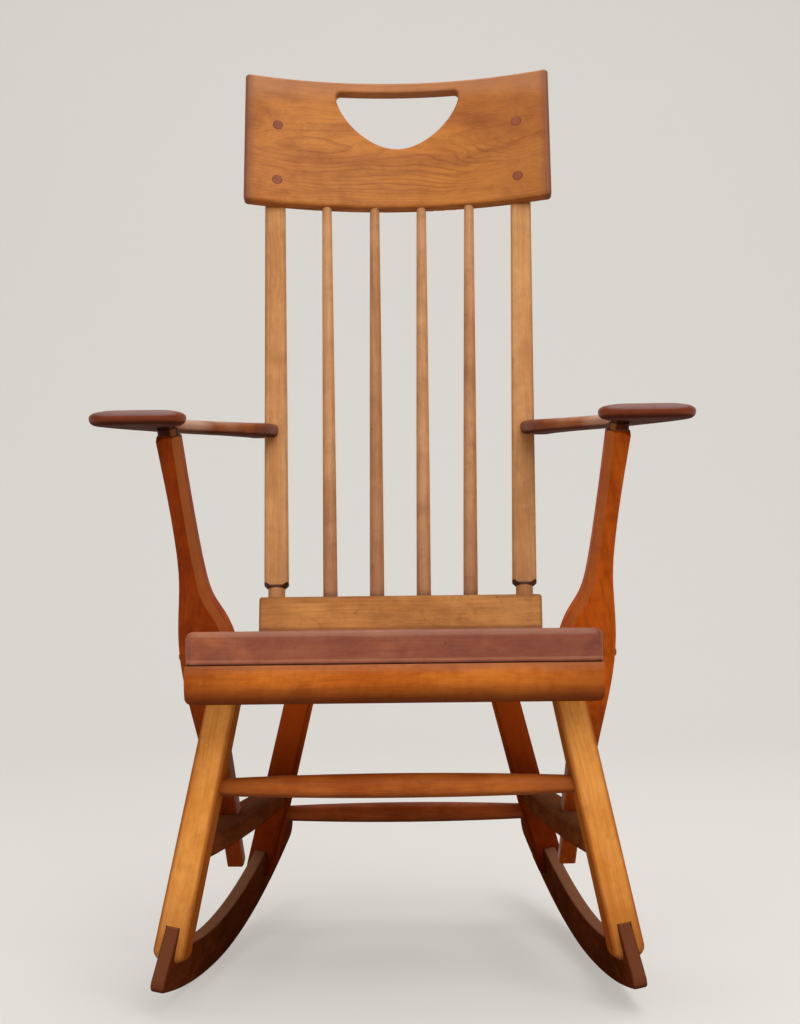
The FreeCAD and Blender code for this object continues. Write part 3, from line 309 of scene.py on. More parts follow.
def woodColour(tree, grained, place, spec):
    # the grain wanders slowly, rings lie about the tree's middle, fibres and pores run along it
    wander = grainMark(tree, grained, "wander", colour=True)
    wander = vectorMath(tree, "SUBTRACT", wander, (0.5, 0.5, 0.5))
    warped = vectorMath(tree, "ADD", grained, vectorMath(tree, "SCALE", wander, scale=spec["wander"]))

    rings = addNode(tree, "ShaderNodeTexWave",
                    {"wave_type": "RINGS", "rings_direction": "SPHERICAL", "wave_profile": "SAW"},
                    Vector=stretched(tree, warped, spec["ovalShare"], 1.0),
                    Scale=ringPeriod / spec["ringSpacing"], Distortion=spec["ringRuffle"], Detail=2.0,
                    Detail_Scale=0.6)
    lineFade = shown(tree, grainMark(tree, grained, "lineFade"), "lineFade", 1.0, 0.10)
    line = multiply(tree, shown(tree, rings.outputs["Fac"], "ring"), lineFade)
    band = grainMark(tree, warped, "band", drawnOut=spec["ovalShare"])
    fibre = grainMark(tree, warped, "fibre")
    streak = grainMark(tree, warped, "streak")
    curl = calculate(tree, "SUBTRACT", grainMark(tree, warped, "curl"), 0.5)
    fleckPatch = shown(tree, plainMark(tree, grained, "fleckPatch"), "fleckPatch")
    fleck = multiply(tree, shown(tree, grainMark(tree, warped, "fleck"), "fleck"), fleckPatch)
    blotchScale = spec["blotchScale"]
    blotch = grainMark(tree, grained, "blotch", blotchScale)
    patch = grainMark(tree, grained, "patch", blotchScale)
    cloud = plainMark(tree, place, "cloud", blotchScale)

    tone = multiply(tree, blotch, spec["blotchShare"])
    tone = calculate(tree, "MULTIPLY_ADD", patch, spec["patchShare"], tone)
    tone = calculate(tree, "MULTIPLY_ADD", curl, spec["curlStrength"] * 2, tone)
    colour = mixColour(tree, shown(tree, tone, "tone"), spec["middle"], spec["light"])
    fibreStrength = spec["fibreStrength"]
    for layer, share in (
            ("deep", shown(tree, cloud, "cloud", spec["mottle"])),
            ("deep", shown(tree, band, "band", spec["bandStrength"])),
            ("deep", multiply(tree, line, spec["ringStrength"])),
            ("deep", shown(tree, streak, "streak", fibreStrength)),
            ("deep", shown(tree, fibre, "darkFibre", fibreStrength)),
            ("light", shown(tree, fibre, "lightFibre", fibreStrength * 0.8)),
            ("fleckColour", multiply(tree, fleck, spec["fleckStrength"]))):
        colour = mixColour(tree, share, colour, spec[layer])
    relief = calculate(tree, "SUBTRACT", fibre, fleck)
    relief = calculate(tree, "MULTIPLY_ADD", line, spec["ringRelief"], relief)
    return colour, relief, streak


def shadeShare(tree, place, ruffle, shade):
    # how far a shaded place shows: by distance from a spot, or along an axis, with a ruffled border
    axes = splitVector(tree, place)
    if "from" in shade:
        spot = vectorMath(tree, "ABSOLUTE", place) if shade.get("mirror") else place
        coordinate = vectorMath(tree, "LENGTH", vectorMath(tree, "SUBTRACT", spot, shade["from"]))
    else:
        coordinate = axes[shade["axis"]]
        if shade.get("mirror"):
            coordinate = calculate(tree, "ABSOLUTE", coordinate)
    coordinate = calculate(tree, "MULTIPLY_ADD", ruffle, shade.get("ruffle", 0.03), coordinate)
    share = spread(tree, coordinate, *shade["span"], 0.0, shade["amount"])
    if "within" in shade:
        middle, half = shade["within"]
        away = calculate(tree, "SUBTRACT", axes[shade["withinAxis"]], middle)
        away = calculate(tree, "ABSOLUTE", away)
        share = multiply(tree, share, spread(tree, away, half, half * stripFade, 1.0, 0.0))
    return share


def nicks(tree, place, spec):
    # a few small round dents, in some of the cells only
    cells = addNode(tree, "ShaderNodeTexVoronoi", Vector=place, Scale=spec["nicksPerMetre"])
    nick = shown(tree, cells.outputs["Distance"], "nick")
    chosen = vectorMath(tree, "DOT_PRODUCT", cells.outputs["Color"], (1, 0, 0))
    chosen = multiply(tree, shown(tree, chosen, "chosenNick"), spec["nickAmount"])
    return multiply(tree, nick, chosen)


def wearAndPaintedLight(tree, colour, place, spec):
    # painted light and shade, and handled and knocked places
    ruffle = calculate(tree, "SUBTRACT", plainMark(tree, place, "ruffle"), 0.5)
    for shade in spec["shades"]:
        colour = mixColour(tree, shadeShare(tree, place, ruffle, shade), colour, shade["colour"])
    if spec["edges"]:
        gap = edgeGap(tree, place, spec["edges"])
        gap = calculate(tree, "MULTIPLY_ADD", ruffle, spec["edgeRuffle"], gap)
        share = spread(tree, gap, spec["edgeWidth"], 0.0, 0.0, spec["edgeAmount"])
        colour = mixColour(tree, share, colour, spec["edgeColour"])
    if spec.get("pencilCut"):
        colour = pencilCut(tree, colour, place, spec["pencilCut"])
    normal = tree.nodes.new("ShaderNodeNewGeometry").outputs["Normal"]
    # painted light and shade on surfaces that look one way
    for side in spec["faces"]:
        facing = vectorMath(tree, "DOT_PRODUCT", normal, side["towards"])
        share = spread(tree, facing, *side["span"], 0.0, side["amount"])
        colour = mixColour(tree, share, colour, side["colour"])
    # painted shade on surfaces that face down
    under = shown(tree, vectorMath(tree, "DOT_PRODUCT", normal, (0, 0, -1)), "downward")
    share = multiply(tree, under, spec["underside"])
    colour = mixColour(tree, share, colour, spec["undersideColour"])
    grime = shown(tree, plainMark(tree, place, "grime"), "grime", spec["grime"])
    colour = mixColour(tree, grime, colour, spec["grimeColour"])
    nick = nicks(tree, place, spec)
    return mixColour(tree, nick, colour, spec["nickColour"]), nick, under


def pencilCut(tree, colour, place, cut):
    # painted shade on the downward-facing cone where a bar's end is cut down to a round neck
    offset = vectorMath(tree, "SUBTRACT", place, cut["start"])
    axis = Vector(cut["axis"]).normalized()
    along = vectorMath(tree, "DOT_PRODUCT", offset, axis)
    length = vectorMath(tree, "LENGTH", offset)
    radius = calculate(tree, "SQRT", calculate(tree, "SUBTRACT", multiply(tree, length, length),
                                               multiply(tree, along, along)))
    onCone = calculate(tree, "SUBTRACT", along, calculate(tree, "SUBTRACT", radius, cut["neckRadius"]))
    nearNeck, fromNeck = cut["neckBlur"]
    beyondNeck = spread(tree, radius, cut["neckRadius"] + nearNeck, cut["neckRadius"] + fromNeck)
    onCut = multiply(tree, spread(tree, onCone, *cut["coneBlur"]), beyondNeck)
    # painted shade on a band just above the cut's start
    neckShade = spread(tree, along, cut["neckShadeTo"], cut["neckShadeTo"] - cut["neckShadeBlur"])
    neckShade = multiply(tree, neckShade, spread(tree, along, *cut["startBlur"]))
    share = multiply(tree, calculate(tree, "MAXIMUM", onCut, neckShade), cut["amount"])
    return mixColour(tree, share, colour, cut["colour"])


def startWood(name, choices):
    spec = {**woodDefaults, **choices}
    material, tree, shader = newMaterial(name)
    place = tree.nodes.new("ShaderNodeTexCoord").outputs["Object"]
    return material, tree, shader, place, spec


def finishWood(tree, shader, wood, place, spec):
    # wear and painted light and shade on the bare wood, then its sheen and its relief
    colour, relief, streak = wood
    colour, nick, under = wearAndPaintedLight(tree, colour, place, spec)
    low, high = spec["roughness"]
    rough = shown(tree, plainMark(tree, place, "sheen"), "sheen", high, low)
    rough = calculate(tree, "MULTIPLY_ADD", streak, spec["dullStreaks"], rough)
    rough = calculate(tree, "MULTIPLY_ADD", under, spec["dullUnderside"], rough)
    height = calculate(tree, "MULTIPLY_ADD", plainMark(tree, place, "swell"), spec["swells"], relief)
    height = calculate(tree, "MULTIPLY_ADD", plainMark(tree, place, "pit"), spec["pits"], height)
    height = calculate(tree, "MULTIPLY_ADD", nick, -spec["nickDepth"], height)
    bump = addNode(tree, "ShaderNodeBump", Height=height, Strength=spec["bump"], Distance=spec["bumpHeight"])
    fillInputs(tree, shader, Base_Color=colour, Roughness=rough, Normal=bump.outputs[0],
               Specular_IOR_Level=spec["gloss"], Coat_Weight=spec["coat"],
               Coat_Roughness=spec["coatRoughness"])


def makeWood(name, centre, choices):
    material, tree, shader, place, spec = startWood(name, choices)
    wood = woodColour(tree, grainedPlace(tree, place, centre, spec), place, spec)
    finishWood(tree, shader, wood, place, spec)
    return material


def mirroredPoint(point):
    return (-point[0], point[1], point[2])


def otherSide(choices):
    # the same look for the piece on the sitter's right
    turned = dict(choices, grain=mirroredPoint(choices["grain"]))
    for key, parts in (("edges", ("foot", "head", "sideways")), ("pencilCut", ("start", "axis"))):
        if choices.get(key):
            turned[key] = dict(choices[key])
            for part in parts:
                turned[key][part] = mirroredPoint(choices[key][part])
    turned["faces"] = tuple(dict(side, towards=mirroredPoint(side["towards"]))
                            for side in choices.get("faces", ()))
    return turned


def shadeAlong(axis, clear, full, amount, colour, **more):
    # a darker or paler place that begins at "clear" along an axis and is whole at "full"
    return dict(axis=axis, span=(clear, full), amount=amount, colour=colour, **more)


def shadeFacing(towards, begins, full, amount, colour):
    # the same for surfaces that look one way, where it paints light and shade
    return dict(towards=towards, span=(begins, full), amount=amount, colour=colour)


def giveMaterial(data, material):
    data.materials.clear()
    data.materials.append(material)


def dress(name, choices):
    low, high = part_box(name)
    look = dict(choices)
    look.setdefault("slide", random.uniform(-0.4, 0.4))  # no two pieces show the same stretch of grain
    giveMaterial(nodes[name].data, makeWood(name + "Wood", (low + high) / 2, look))


random.seed(7)
backPlace = {
    "foot": Vector((0, 0.0916, 0.4035)),  # middle of the riser's top
    "rakeDegrees": 19,
}
rake = math.radians(backPlace["rakeDegrees"])
backUp = Vector((0, math.sin(rake), math.cos(rake)))
backRear = Vector((0, backUp.z, -backUp.y))


def onBack(across, along, behind=0.0):
    # a point on the raked back: across it, up along it and behind its middle plane
    return backPlace["foot"] + Vector((across, 0, 0)) + backUp * along + backRear * behind


crestLook = {
    "grain": (1, 0, 0), "heart": (-0.150, 0.016, -0.006), "slide": 0.0,
    "ringSpacing": 0.0046, "ringStrength": 0.42, "ringRuffle": 1.1, "bandStrength": 0.36,
    "light": tint(206, 129, 57), "middle": tint(180, 106, 46), "deep": tint(127, 63, 31),
    "blotchScale": 6.0, "wander": 0.05,
    "edges": {"foot": onBack(-0.1946, 0.6075), "head": onBack(0.1946, 0.6075), "sideways": backUp,
              "halfFoot": (0.090, 0.05), "halfHead": (0.090, 0.05), "rims": "ends"},
    "edgeWidth": 0.016, "edgeAmount": 0.78, "edgeColour": tint(124, 74, 60),
    "shades": (shadeAlong("X", 0.06, 0.17, 0.30, tint(150, 88, 52), ruffle=0.10),
               # painted sheen: the crest paler towards its upper edge
               shadeAlong("Z", 1.034, 1.060, 0.40, tint(196, 140, 104), ruffle=0.02)),
    # painted shade on the crest's downward faces
    "underside": 0.40,
}
dress("crest_rail", crestLook)

postLook = {
    "grain": (0.015, 0.326, 0.945), "heart": (0.0, 0.03, 0.12), "ringSpacing": 0.005,
    "light": tint(225, 163, 102), "middle": tint(203, 140, 81), "deep": tint(151, 92, 49),
    "edges": {"foot": onBack(0.1484, 0), "head": onBack(0.1588, 0.655), "sideways": (1, 0, 0),
              "halfFoot": (0.0145, 0.010), "halfHead": (0.0122, 0.010)},
    "edgeWidth": 0.0026, "edgeAmount": 0.40, "edgeColour": tint(140, 84, 48),
    # painted shade at the post's foot, where it is cut down to its neck
    "pencilCut": {"start": onBack(0.1484, 0.013), "axis": onBack(0.0104, 0.655) - backPlace["foot"],
                  "neckRadius": 0.0102, "neckShadeTo": 0.0042, "colour": tint(66, 30, 14), "amount": 0.92,
                  "coneBlur": (0.0016, 0.0006), "neckBlur": (0.0002, 0.0012), "neckShadeBlur": 0.0015,
                  "startBlur": (-0.0006, 0.0002)},
    "shades": (shadeAlong("Z", 0.470, 0.415, 0.30, tint(140, 80, 44)),),
}
dress("back_post_left", postLook)
dress("back_post_right", otherSide(postLook))

riserLook = {
    "grain": (1, 0, 0), "heart": (0.0, 0.12, 0.08), "ringSpacing": 0.005,
    "light": tint(222, 152, 79), "middle": tint(192, 124, 59), "deep": tint(132, 75, 33),
    "blotchScale": 12.0,
    "edges": {"foot": onBack(-0.1684, -0.0205), "head": onBack(0.1684, -0.0205), "sideways": backUp,
              "halfFoot": (0.0205, 0.015), "halfHead": (0.0205, 0.015), "rims": "all"},
    "edgeWidth": 0.004, "edgeAmount": 0.5,
    "shades": (shadeAlong("X", -0.105, -0.168, 0.40, tint(136, 72, 42), ruffle=0.06),),
    "grime": 0.42,
}
dress("seat_riser", riserLook)

seatLook = {
    "grain": (1, 0, 0), "heart": (0.0, 0.02, -0.10), "ovalShare": 0.05, "ringStrength": 0.12,
    "light": tint(198, 118, 76), "middle": tint(158, 86, 56), "deep": tint(104, 50, 40),
    "blotchScale": 13.0, "mottle": 0.50,
    "shades": (shadeAlong("Y", -0.250, -0.318, 0.30, tint(150, 76, 52)),
               shadeAlong("Y", -0.290, -0.325, 0.35, tint(112, 62, 60), ruffle=0.16),
               # painted highlight: a thin pale line along the rounded lower edge of the plank's front
               shadeAlong("Y", -0.300, -0.320, 0.35, tint(200, 134, 98), within=(0.3621, 0.0010),
                          withinAxis="Z"),
               # painted shade: a thin dark line in the seam under the plank's front edge
               shadeAlong("Z", 0.3600, 0.3588, 0.85, tint(58, 26, 16), ruffle=0.001,
                          within=(-0.330, 0.030), withinAxis="Y")),
    # painted reflection on the rounding along the plank's top front edge
    "faces": (shadeFacing((0, -0.75, 0.66), 0.90, 0.99, 0.30, tint(172, 126, 96)),),
    "grime": 0.42, "roughness": (0.30, 0.44), "gloss": 0.16, "coat": 0.05,
}
dress("seat_plank", seatLook)

apronLook = {
    "grain": (1, 0, 0), "heart": (0.0, 0.08, 0.06), "ovalShare": 0.05, "ringStrength": 0.10,
    "light": tint(218, 122, 42), "middle": tint(192, 94, 24), "deep": tint(134, 56, 12),
    "blotchScale": 12.0, "curlStrength": 0.12, "mottle": 0.45, "bandStrength": 0.10,
    # painted reflection on the apron's rounded top
    "shades": (shadeAlong("Z", 0.347, 0.3575, 0.50, tint(166, 104, 74), ruffle=0.010),
               # painted shade, darker towards the apron's bottom
               shadeAlong("Z", 0.342, 0.321, 0.80, tint(98, 36, 4), ruffle=0.008),
               shadeAlong("X", 0.13, 0.205, 0.40, tint(128, 50, 6), mirror=True, ruffle=0.03)),
    "nickAmount": 1.0, "roughness": (0.30, 0.44), "gloss": 0.06, "coat": 0.03,
}
dress("seat_front_apron", apronLook)

armLook = {
    "grain": (0, 1, 0), "heart": (0.0, 0.05, -0.08), "ovalShare": 0.06,
    "light": tint(176, 98, 48), "middle": tint(142, 72, 32), "deep": tint(92, 40, 18),
    "blotchScale": 12.0,
    "shades": (shadeAlong("Y", -0.10, -0.20, 0.75, tint(116, 48, 26)),
               # a pale spot on each paddle's heel, partly wear and partly painted reflection
               {"from": (0.232, 0.045, 0.612), "mirror": True, "span": (0.056, 0.014), "amount": 0.72,
                "colour": tint(196, 156, 128), "ruffle": 0.014},
               shadeAlong("X", 0.186, 0.160, 0.60, tint(92, 34, 14), mirror=True, ruffle=0.01)),
    # painted reflection on the front rims that face up, and painted shade on those that face down
    "faces": (shadeFacing((0, -0.72, 0.69), 0.74, 0.96, 0.66, tint(134, 108, 106)),
              shadeFacing((0, -0.70, -0.71), 0.70, 0.98, 0.75, tint(98, 40, 20))),
    # painted shade on the arm's underside
    "grime": 0.40, "underside": 0.85, "undersideColour": tint(56, 20, 9), "roughness": (0.27, 0.40),
    "gloss": 0.10, "coat": 0.0,
}
armShape = {
    "fineness": 0.0022,  # size of the cells that the arm is made up of
    "rubShare": 0.5, "rubTimes": 4,  # how the cells' steps are rubbed away
    "sideTilt": 0.3,  # faces that look up or down by less than this are the arm's sides
    "topDrop": 0.0036, "topReach": 0.026,
    "underLift": 0.0016, "underReach": 0.014,
    "fullAtRear": (0.02, 0.11),  # between these the crown fades to the full thickness
}


def plainMesh(thing, name):
    # what an object's modifiers make of it, in place of the object
    grown = bpy.data.meshes.new_from_object(thing.evaluated_get(bpy.context.evaluated_depsgraph_get()))
    bpy.data.objects.remove(thing)
    grown.name = name
    return grown


def makeSoftArm(nodeName):
    # an arm worn round: its rims fall away from a low crown, above and below
    shape = bmesh.new()
    shape.from_mesh(nodes[nodeName].data)
    bmesh.ops.remove_doubles(shape, verts=shape.verts, dist=joinWithin)
    joined = bpy.data.meshes.new(nodeName + "Joined")
    shape.to_mesh(joined)
    shape.normal_update()
    sides = [[vertex.index for vertex in face.verts] for face in shape.faces
             if abs(face.normal.z) < armShape["sideTilt"]]
    rim = BVHTree.FromPolygons([vertex.co.copy() for vertex in shape.verts], sides)
    shape.free()
    rough = addObject(nodeName + "Rough", joined)
    cells = rough.modifiers.new("cells", "REMESH")
    cells.mode = "VOXEL"
    cells.voxel_size = armShape["fineness"]
    rub = rough.modifiers.new("rub", "SMOOTH")
    rub.factor = armShape["rubShare"]
    rub.iterations = armShape["rubTimes"]
    grown = plainMesh(rough, nodeName + "Soft")
    low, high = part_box(nodeName)
    middle = (low.z + high.z) / 2
    start, end = armShape["fullAtRear"]
    for vertex in grown.vertices:
        height = (vertex.co.z - middle) / ((high.z - low.z) / 2)
        drop, reach = ("topDrop", "topReach") if height > 0 else ("underLift", "underReach")
        distance = rim.find_nearest(Vector((vertex.co.x, vertex.co.y, middle)))[3]
        gap = min(1.0, distance / armShape[reach])
        fade = 1 - max(0.0, min(1.0, (vertex.co.y - start) / (end - start)))
        vertex.co.z -= height * armShape[drop] * (1 - gap) ** 2 * fade
    for face in grown.polygons:
        face.use_smooth = True
    giveMaterial(grown, makeWood(nodeName + "Wood", (low + high) / 2, armLook))
    arm = addObject("soft_" + nodeName, grown)
    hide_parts(nodeName)
    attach(arm, "root")


makeSoftArm("arm_left")
makeSoftArm("arm_right")
print("arms rounded")

supportLook = {
    "grain": (-0.1, -0.3, 0.95), "heart": (0.0, 0.07, 0.08), "ringSpacing": 0.005,
    "light": tint(216, 102, 22), "middle": tint(184, 72, 10), "deep": tint(108, 38, 6),
    "blotchScale": 10.0, "curlStrength": 0.10,
    # painted shadow in a thin band under the arm
    "shades": (shadeAlong("Z", 0.5885, 0.5925, 0.9, tint(44, 20, 12), ruffle=0.002),
               # painted shade on the lower end, below the seat
               shadeAlong("Z", 0.330, 0.250, 0.45, tint(84, 30, 8))),
    # painted highlight on the inner bevel
    "faces": (shadeFacing((-0.67, -0.73, -0.15), 0.90, 0.985, 0.45, tint(186, 118, 66)),),
    "roughness": (0.30, 0.44), "gloss": 0.04, "coat": 0.0,
}
dress("arm_support_left", supportLook)
# painted shade: the sitter's right support is a darker copy of the left
dress("arm_support_right", otherSide(dict(supportLook, light=tint(168, 72, 16), middle=tint(140, 52, 8))))

frontLegLook = {
    "grain": (-0.21, 0.09, 0.97), "heart": (0.0, 0.02, 0.14), "ringSpacing": 0.005,
    "light": tint(252, 170, 84), "middle": tint(232, 146, 62), "deep": tint(176, 94, 34),
    "edges": {"foot": (0.2331, -0.2683, 0.060), "head": (0.1714, -0.2413, 0.3497),
              "sideways": (0.977, 0.113, 0.182), "halfFoot": (0.0165, 0.0207), "halfHead": (0.0155, 0.0167)},
    "edgeWidth": 0.0052, "edgeAmount": 0.75, "edgeColour": tint(150, 64, 14),
    # painted shade on the legs' side faces
    "faces": (shadeFacing((-0.98, 0.0, -0.18), 0.75, 0.97, 0.75, tint(140, 58, 12)),
              shadeFacing((0.98, 0.0, 0.18), 0.75, 0.97, 0.55, tint(150, 76, 24))),
    # painted shade at the top of the legs, under the apron
    "shades": (shadeAlong("Z", 0.310, 0.352, 0.40, tint(166, 76, 20)),
               shadeAlong("Z", 0.150, 0.060, 0.50, tint(160, 88, 40))),
    "gloss": 0.0, "coat": 0.0,
}
dress("front_leg_left", frontLegLook)
dress("front_leg_right", otherSide(frontLegLook))

rearLegLook = {
    "grain": (-0.24, -0.36, 0.9), "heart": (0.0, 0.05, 0.1),
    # painted shade: darker colours than the front legs
    "light": tint(142, 52, 12), "middle": tint(114, 37, 8), "deep": tint(78, 24, 5),
    "edges": {"foot": (0.1783, 0.1887, 0.070), "head": (0.1140, 0.0907, 0.3189),
              "sideways": (0.977, 0.113, 0.182), "halfFoot": (0.0165, 0.0206), "halfHead": (0.0155, 0.0167)},
    "edgeWidth": 0.0034, "edgeAmount": 0.5, "edgeColour": tint(60, 20, 6),
    # painted light, paler towards the top
    "shades": (shadeAlong("Z", 0.17, 0.30, 0.65, tint(214, 92, 26)),),
    "grime": 0.3, "gloss": 0.0, "coat": 0.0,
}
dress("rear_leg_left", rearLegLook)
dress("rear_leg_right", otherSide(rearLegLook))

rockerLook = {
    "grain": (0, 1, 0), "heart": (0.0, 0.02, -0.12),
    # painted shade: dark colours for the rockers' sides
    "light": tint(108, 50, 24), "middle": tint(80, 35, 15), "deep": tint(46, 17, 6),
    # painted light on the top faces and the front ends
    "faces": (shadeFacing((0, 0, 1), 0.35, 0.9, 0.85, tint(146, 98, 70)),
              shadeFacing((0, -1, 0), 0.55, 0.9, 0.65, tint(122, 70, 46))),
    "grime": 0.35, "nickAmount": 0.8, "roughness": (0.42, 0.58), "gloss": 0.0, "coat": 0.0,
}
dress("rocker_left", rockerLook)
dress("rocker_right", rockerLook)

sideStretcherLook = {
    "grain": (0.12, 0.97, -0.1), "heart": (0.0, 0.03, 0.05),
    # painted shade: dark colours
    "light": tint(128, 68, 34), "middle": tint(104, 50, 22), "deep": tint(62, 25, 9),
    # painted light on the top
    "faces": (shadeFacing((0, 0, 1), 0.2, 0.9, 0.6, tint(128, 82, 54)),),
    "grime": 0.4, "roughness": (0.40, 0.55), "gloss": 0.0, "coat": 0.0,
}
dress("side_stretcher_left", sideStretcherLook)
dress("side_stretcher_right", sideStretcherLook)
print("boards and legs dressed")


def newTree(name, inputs):
    tree = bpy.data.node_groups.new(name, "GeometryNodeTree")
    tree.interface.new_socket(name="Geometry", in_out="INPUT", socket_type="NodeSocketGeometry")
    tree.interface.new_socket(name="Geometry", in_out="OUTPUT", socket_type="NodeSocketGeometry")
    for label, kind, value in inputs:
        socket = tree.interface.new_socket(name=label, in_out="INPUT", socket_type="NodeSocket" + kind)
        if value is not None:
            socket.default_value = value
    return tree, tree.nodes.new("NodeGroupInput").outputs, tree.nodes.new("NodeGroupOutput").inputs


def namedValue(tree, name, kind="FLOAT"):
    return addNode(tree, "GeometryNodeInputNamedAttribute", {"data_type": kind}, Name=name).outputs[0]


def keepValue(tree, geometry, name, value, kind="FLOAT"):
    node = addNode(tree, "GeometryNodeStoreNamedAttribute", {"data_type": kind}, Geometry=geometry, Name=name,
                   Value=value)
    return node.outputs[0]


def closeTree(tree, geometry, material, outputs):
    smooth = addNode(tree, "GeometryNodeSetShadeSmooth", Geometry=geometry)
    real = addNode(tree, "GeometryNodeRealizeInstances", Geometry=smooth.outputs[0])
    dressed = addNode(tree, "GeometryNodeSetMaterial", Geometry=real.outputs[0], Material=material)
    tree.links.new(dressed.outputs[0], outputs[0])


def grownMesh(name, mesh, tree, values):
    # run the tree once on a carrier mesh and keep the plain result
    carrier = addObject(name + "Carrier", mesh)
    modifier = carrier.modifiers.new(name, "NODES")
    modifier.node_group = tree
    identifiers = {item.name: item.identifier for item in tree.interface.items_tree
                   if item.item_type == "SOCKET" and item.in_out == "INPUT"}
    for label, value in values.items():
        modifier[identifiers[label]] = value
    return addObject(name, plainMesh(carrier, name))


def makeBarTree():
    # each edge of the carrier becomes a turned bar with one long swell
    tree, given, outputs = newTree("turnedBars", (
        ("Foot Radius", "Float", 0.0087), ("Middle Radius", "Float", 0.0076),
        ("Head Radius", "Float", 0.0060), ("Tool Marks", "Float", 0.00008), ("Marks Scale", "Float", 60.0),
        ("Steps Along", "Int", 90), ("Steps Around", "Int", 40), ("Seed", "Float", 3.0),
        ("Wood", "Material", None),
    ))
    curve = addNode(tree, "GeometryNodeMeshToCurve", Mesh=given["Geometry"])
    fine = addNode(tree, "GeometryNodeResampleCurve", Curve=curve.outputs[0], Count=given["Steps Along"])
    # the radius follows a parabola through its foot, middle and head
    share = namedValue(tree, "share")
    rest = calculate(tree, "SUBTRACT", 1.0, share)
    low = multiply(tree, rest, calculate(tree, "MULTIPLY_ADD", share, -2.0, 1.0))
    middle = multiply(tree, multiply(tree, share, rest), 4.0)
    high = multiply(tree, share, calculate(tree, "MULTIPLY_ADD", share, 2.0, -1.0))
    radius = multiply(tree, low, given["Foot Radius"])
    radius = calculate(tree, "MULTIPLY_ADD", middle, given["Middle Radius"], radius)
    radius = calculate(tree, "MULTIPLY_ADD", high, given["Head Radius"], radius)
    marks = addNode(tree, "ShaderNodeTexNoise", {"noise_dimensions": "4D"}, Scale=given["Marks Scale"],
                    W=given["Seed"])
    uneven = calculate(tree, "SUBTRACT", marks.outputs[0], 0.5)
    radius = calculate(tree, "MULTIPLY_ADD", uneven, given["Tool Marks"], radius)
    length = tree.nodes.new("GeometryNodeSplineParameter").outputs["Length"]
    kept = keepValue(tree, fine.outputs[0], "barAlong", length)
    ring = addNode(tree, "GeometryNodeCurvePrimitiveCircle", Radius=1.0, Resolution=given["Steps Around"])
    position = tree.nodes.new("GeometryNodeInputPosition").outputs[0]
    around = keepValue(tree, ring.outputs[0], "barAround", position, "FLOAT_VECTOR")
    bars = addNode(tree, "GeometryNodeCurveToMesh", Curve=kept, Profile_Curve=around, Scale=radius,
                   Fill_Caps=True)
    closeTree(tree, bars.outputs[0], given["Wood"], outputs)
    return tree


def barCarrier(name, lines):
    mesh = bpy.data.meshes.new(name)
    points = [point for line in lines for point in line]
    mesh.from_pydata([tuple(point) for point in points], [(2 * i, 2 * i + 1) for i in range(len(lines))], [])
    shares = mesh.attributes.new("share", "FLOAT", "POINT")
    shares.data.foreach_set("value", [0.0, 1.0] * len(lines))
    numbers = mesh.attributes.new("barNumber", "FLOAT", "POINT")
    numbers.data.foreach_set("value", [float(i // 2) for i in range(2 * len(lines))])
    return mesh


# how far apart along the grain two bars were cut, and how their shades are dealt out
barGrain = {"apart": 3.7, "firstShade": 0.21, "shadeStep": 0.618}


def makeBarWood(name, choices):
    # grain follows each bar: its own length, and the place on its round
    material, tree, shader, place, spec = startWood(name, choices)
    number = attribute(tree, "barNumber")
    around = vectorMath(tree, "SCALE", attribute(tree, "barAround", "Vector"), scale=spec["radius"])
    across = splitVector(tree, around)
    along = calculate(tree, "MULTIPLY_ADD", number, barGrain["apart"], attribute(tree, "barAlong"))
    grained = vectorMath(tree, "ADD", joinVector(tree, along, across[0], across[1]), spec["heart"])
    colour, relief, streak = woodColour(tree, grained, place, spec)
    ownShade = calculate(tree, "MULTIPLY_ADD", number, barGrain["shadeStep"], barGrain["firstShade"])
    ownShade = calculate(tree, "FRACT", ownShade)
    ownShade = multiply(tree, ownShade, spec["barVariation"])
    colour = mixColour(tree, ownShade, colour, spec["deep"])
    finishWood(tree, shader, (colour, relief, streak), place, spec)
    return material


barTree = makeBarTree()

# the bent crest's front face, which spindles and plugs follow
crestBend = {"radius": 0.6077, "middleBehind": -0.0055, "thickness": 0.0185}
bendMiddle = crestBend["middleBehind"] - crestBend["radius"]


def behindAt(across, deeper=0.0):
    # how far behind the back's middle plane the crest lies there
    return bendMiddle + math.sqrt((crestBend["radius"] + deeper) ** 2 - across ** 2)


spindleChoices = {
    "feet": (-0.084, -0.028, 0.028, 0.084),
    "tops": (-0.0905, -0.0298, 0.0298, 0.0905),
    "along": (0.0001, 0.5215),
    "radii": (0.0087, 0.0076, 0.0060),
}
spindleLook = {
    "radius": 0.0075, "heart": (0.0, 0.012, 0.05), "ringSpacing": 0.006, "barVariation": 0.10,
    "light": tint(218, 159, 107), "middle": tint(193, 134, 86), "deep": tint(134, 81, 50),
    "shades": (shadeAlong("Z", 0.62, 0.42, 0.30, tint(138, 84, 58)),
               shadeAlong("Z", 0.416, 0.406, 0.5, tint(84, 44, 24), ruffle=0.004)),
}


def makeSpindles():
    lines = []
    start, end = spindleChoices["along"]
    for foot, top in zip(spindleChoices["feet"], spindleChoices["tops"]):
        behind = behindAt(top, crestBend["thickness"] / 2)
        lines.append((onBack(foot, start), onBack(top, end, behind)))
    foot, middle, top = spindleChoices["radii"]
    spindles = grownMesh("backSpindles", barCarrier("spindleLines", lines), barTree, {
        "Foot Radius": foot, "Middle Radius": middle, "Head Radius": top,
        "Wood": makeBarWood("spindleWood", spindleLook),
    })
    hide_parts("spindle_1", "spindle_2", "spindle_3", "spindle_4")
    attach(spindles, "root")


makeSpindles()
print("spindles turned")

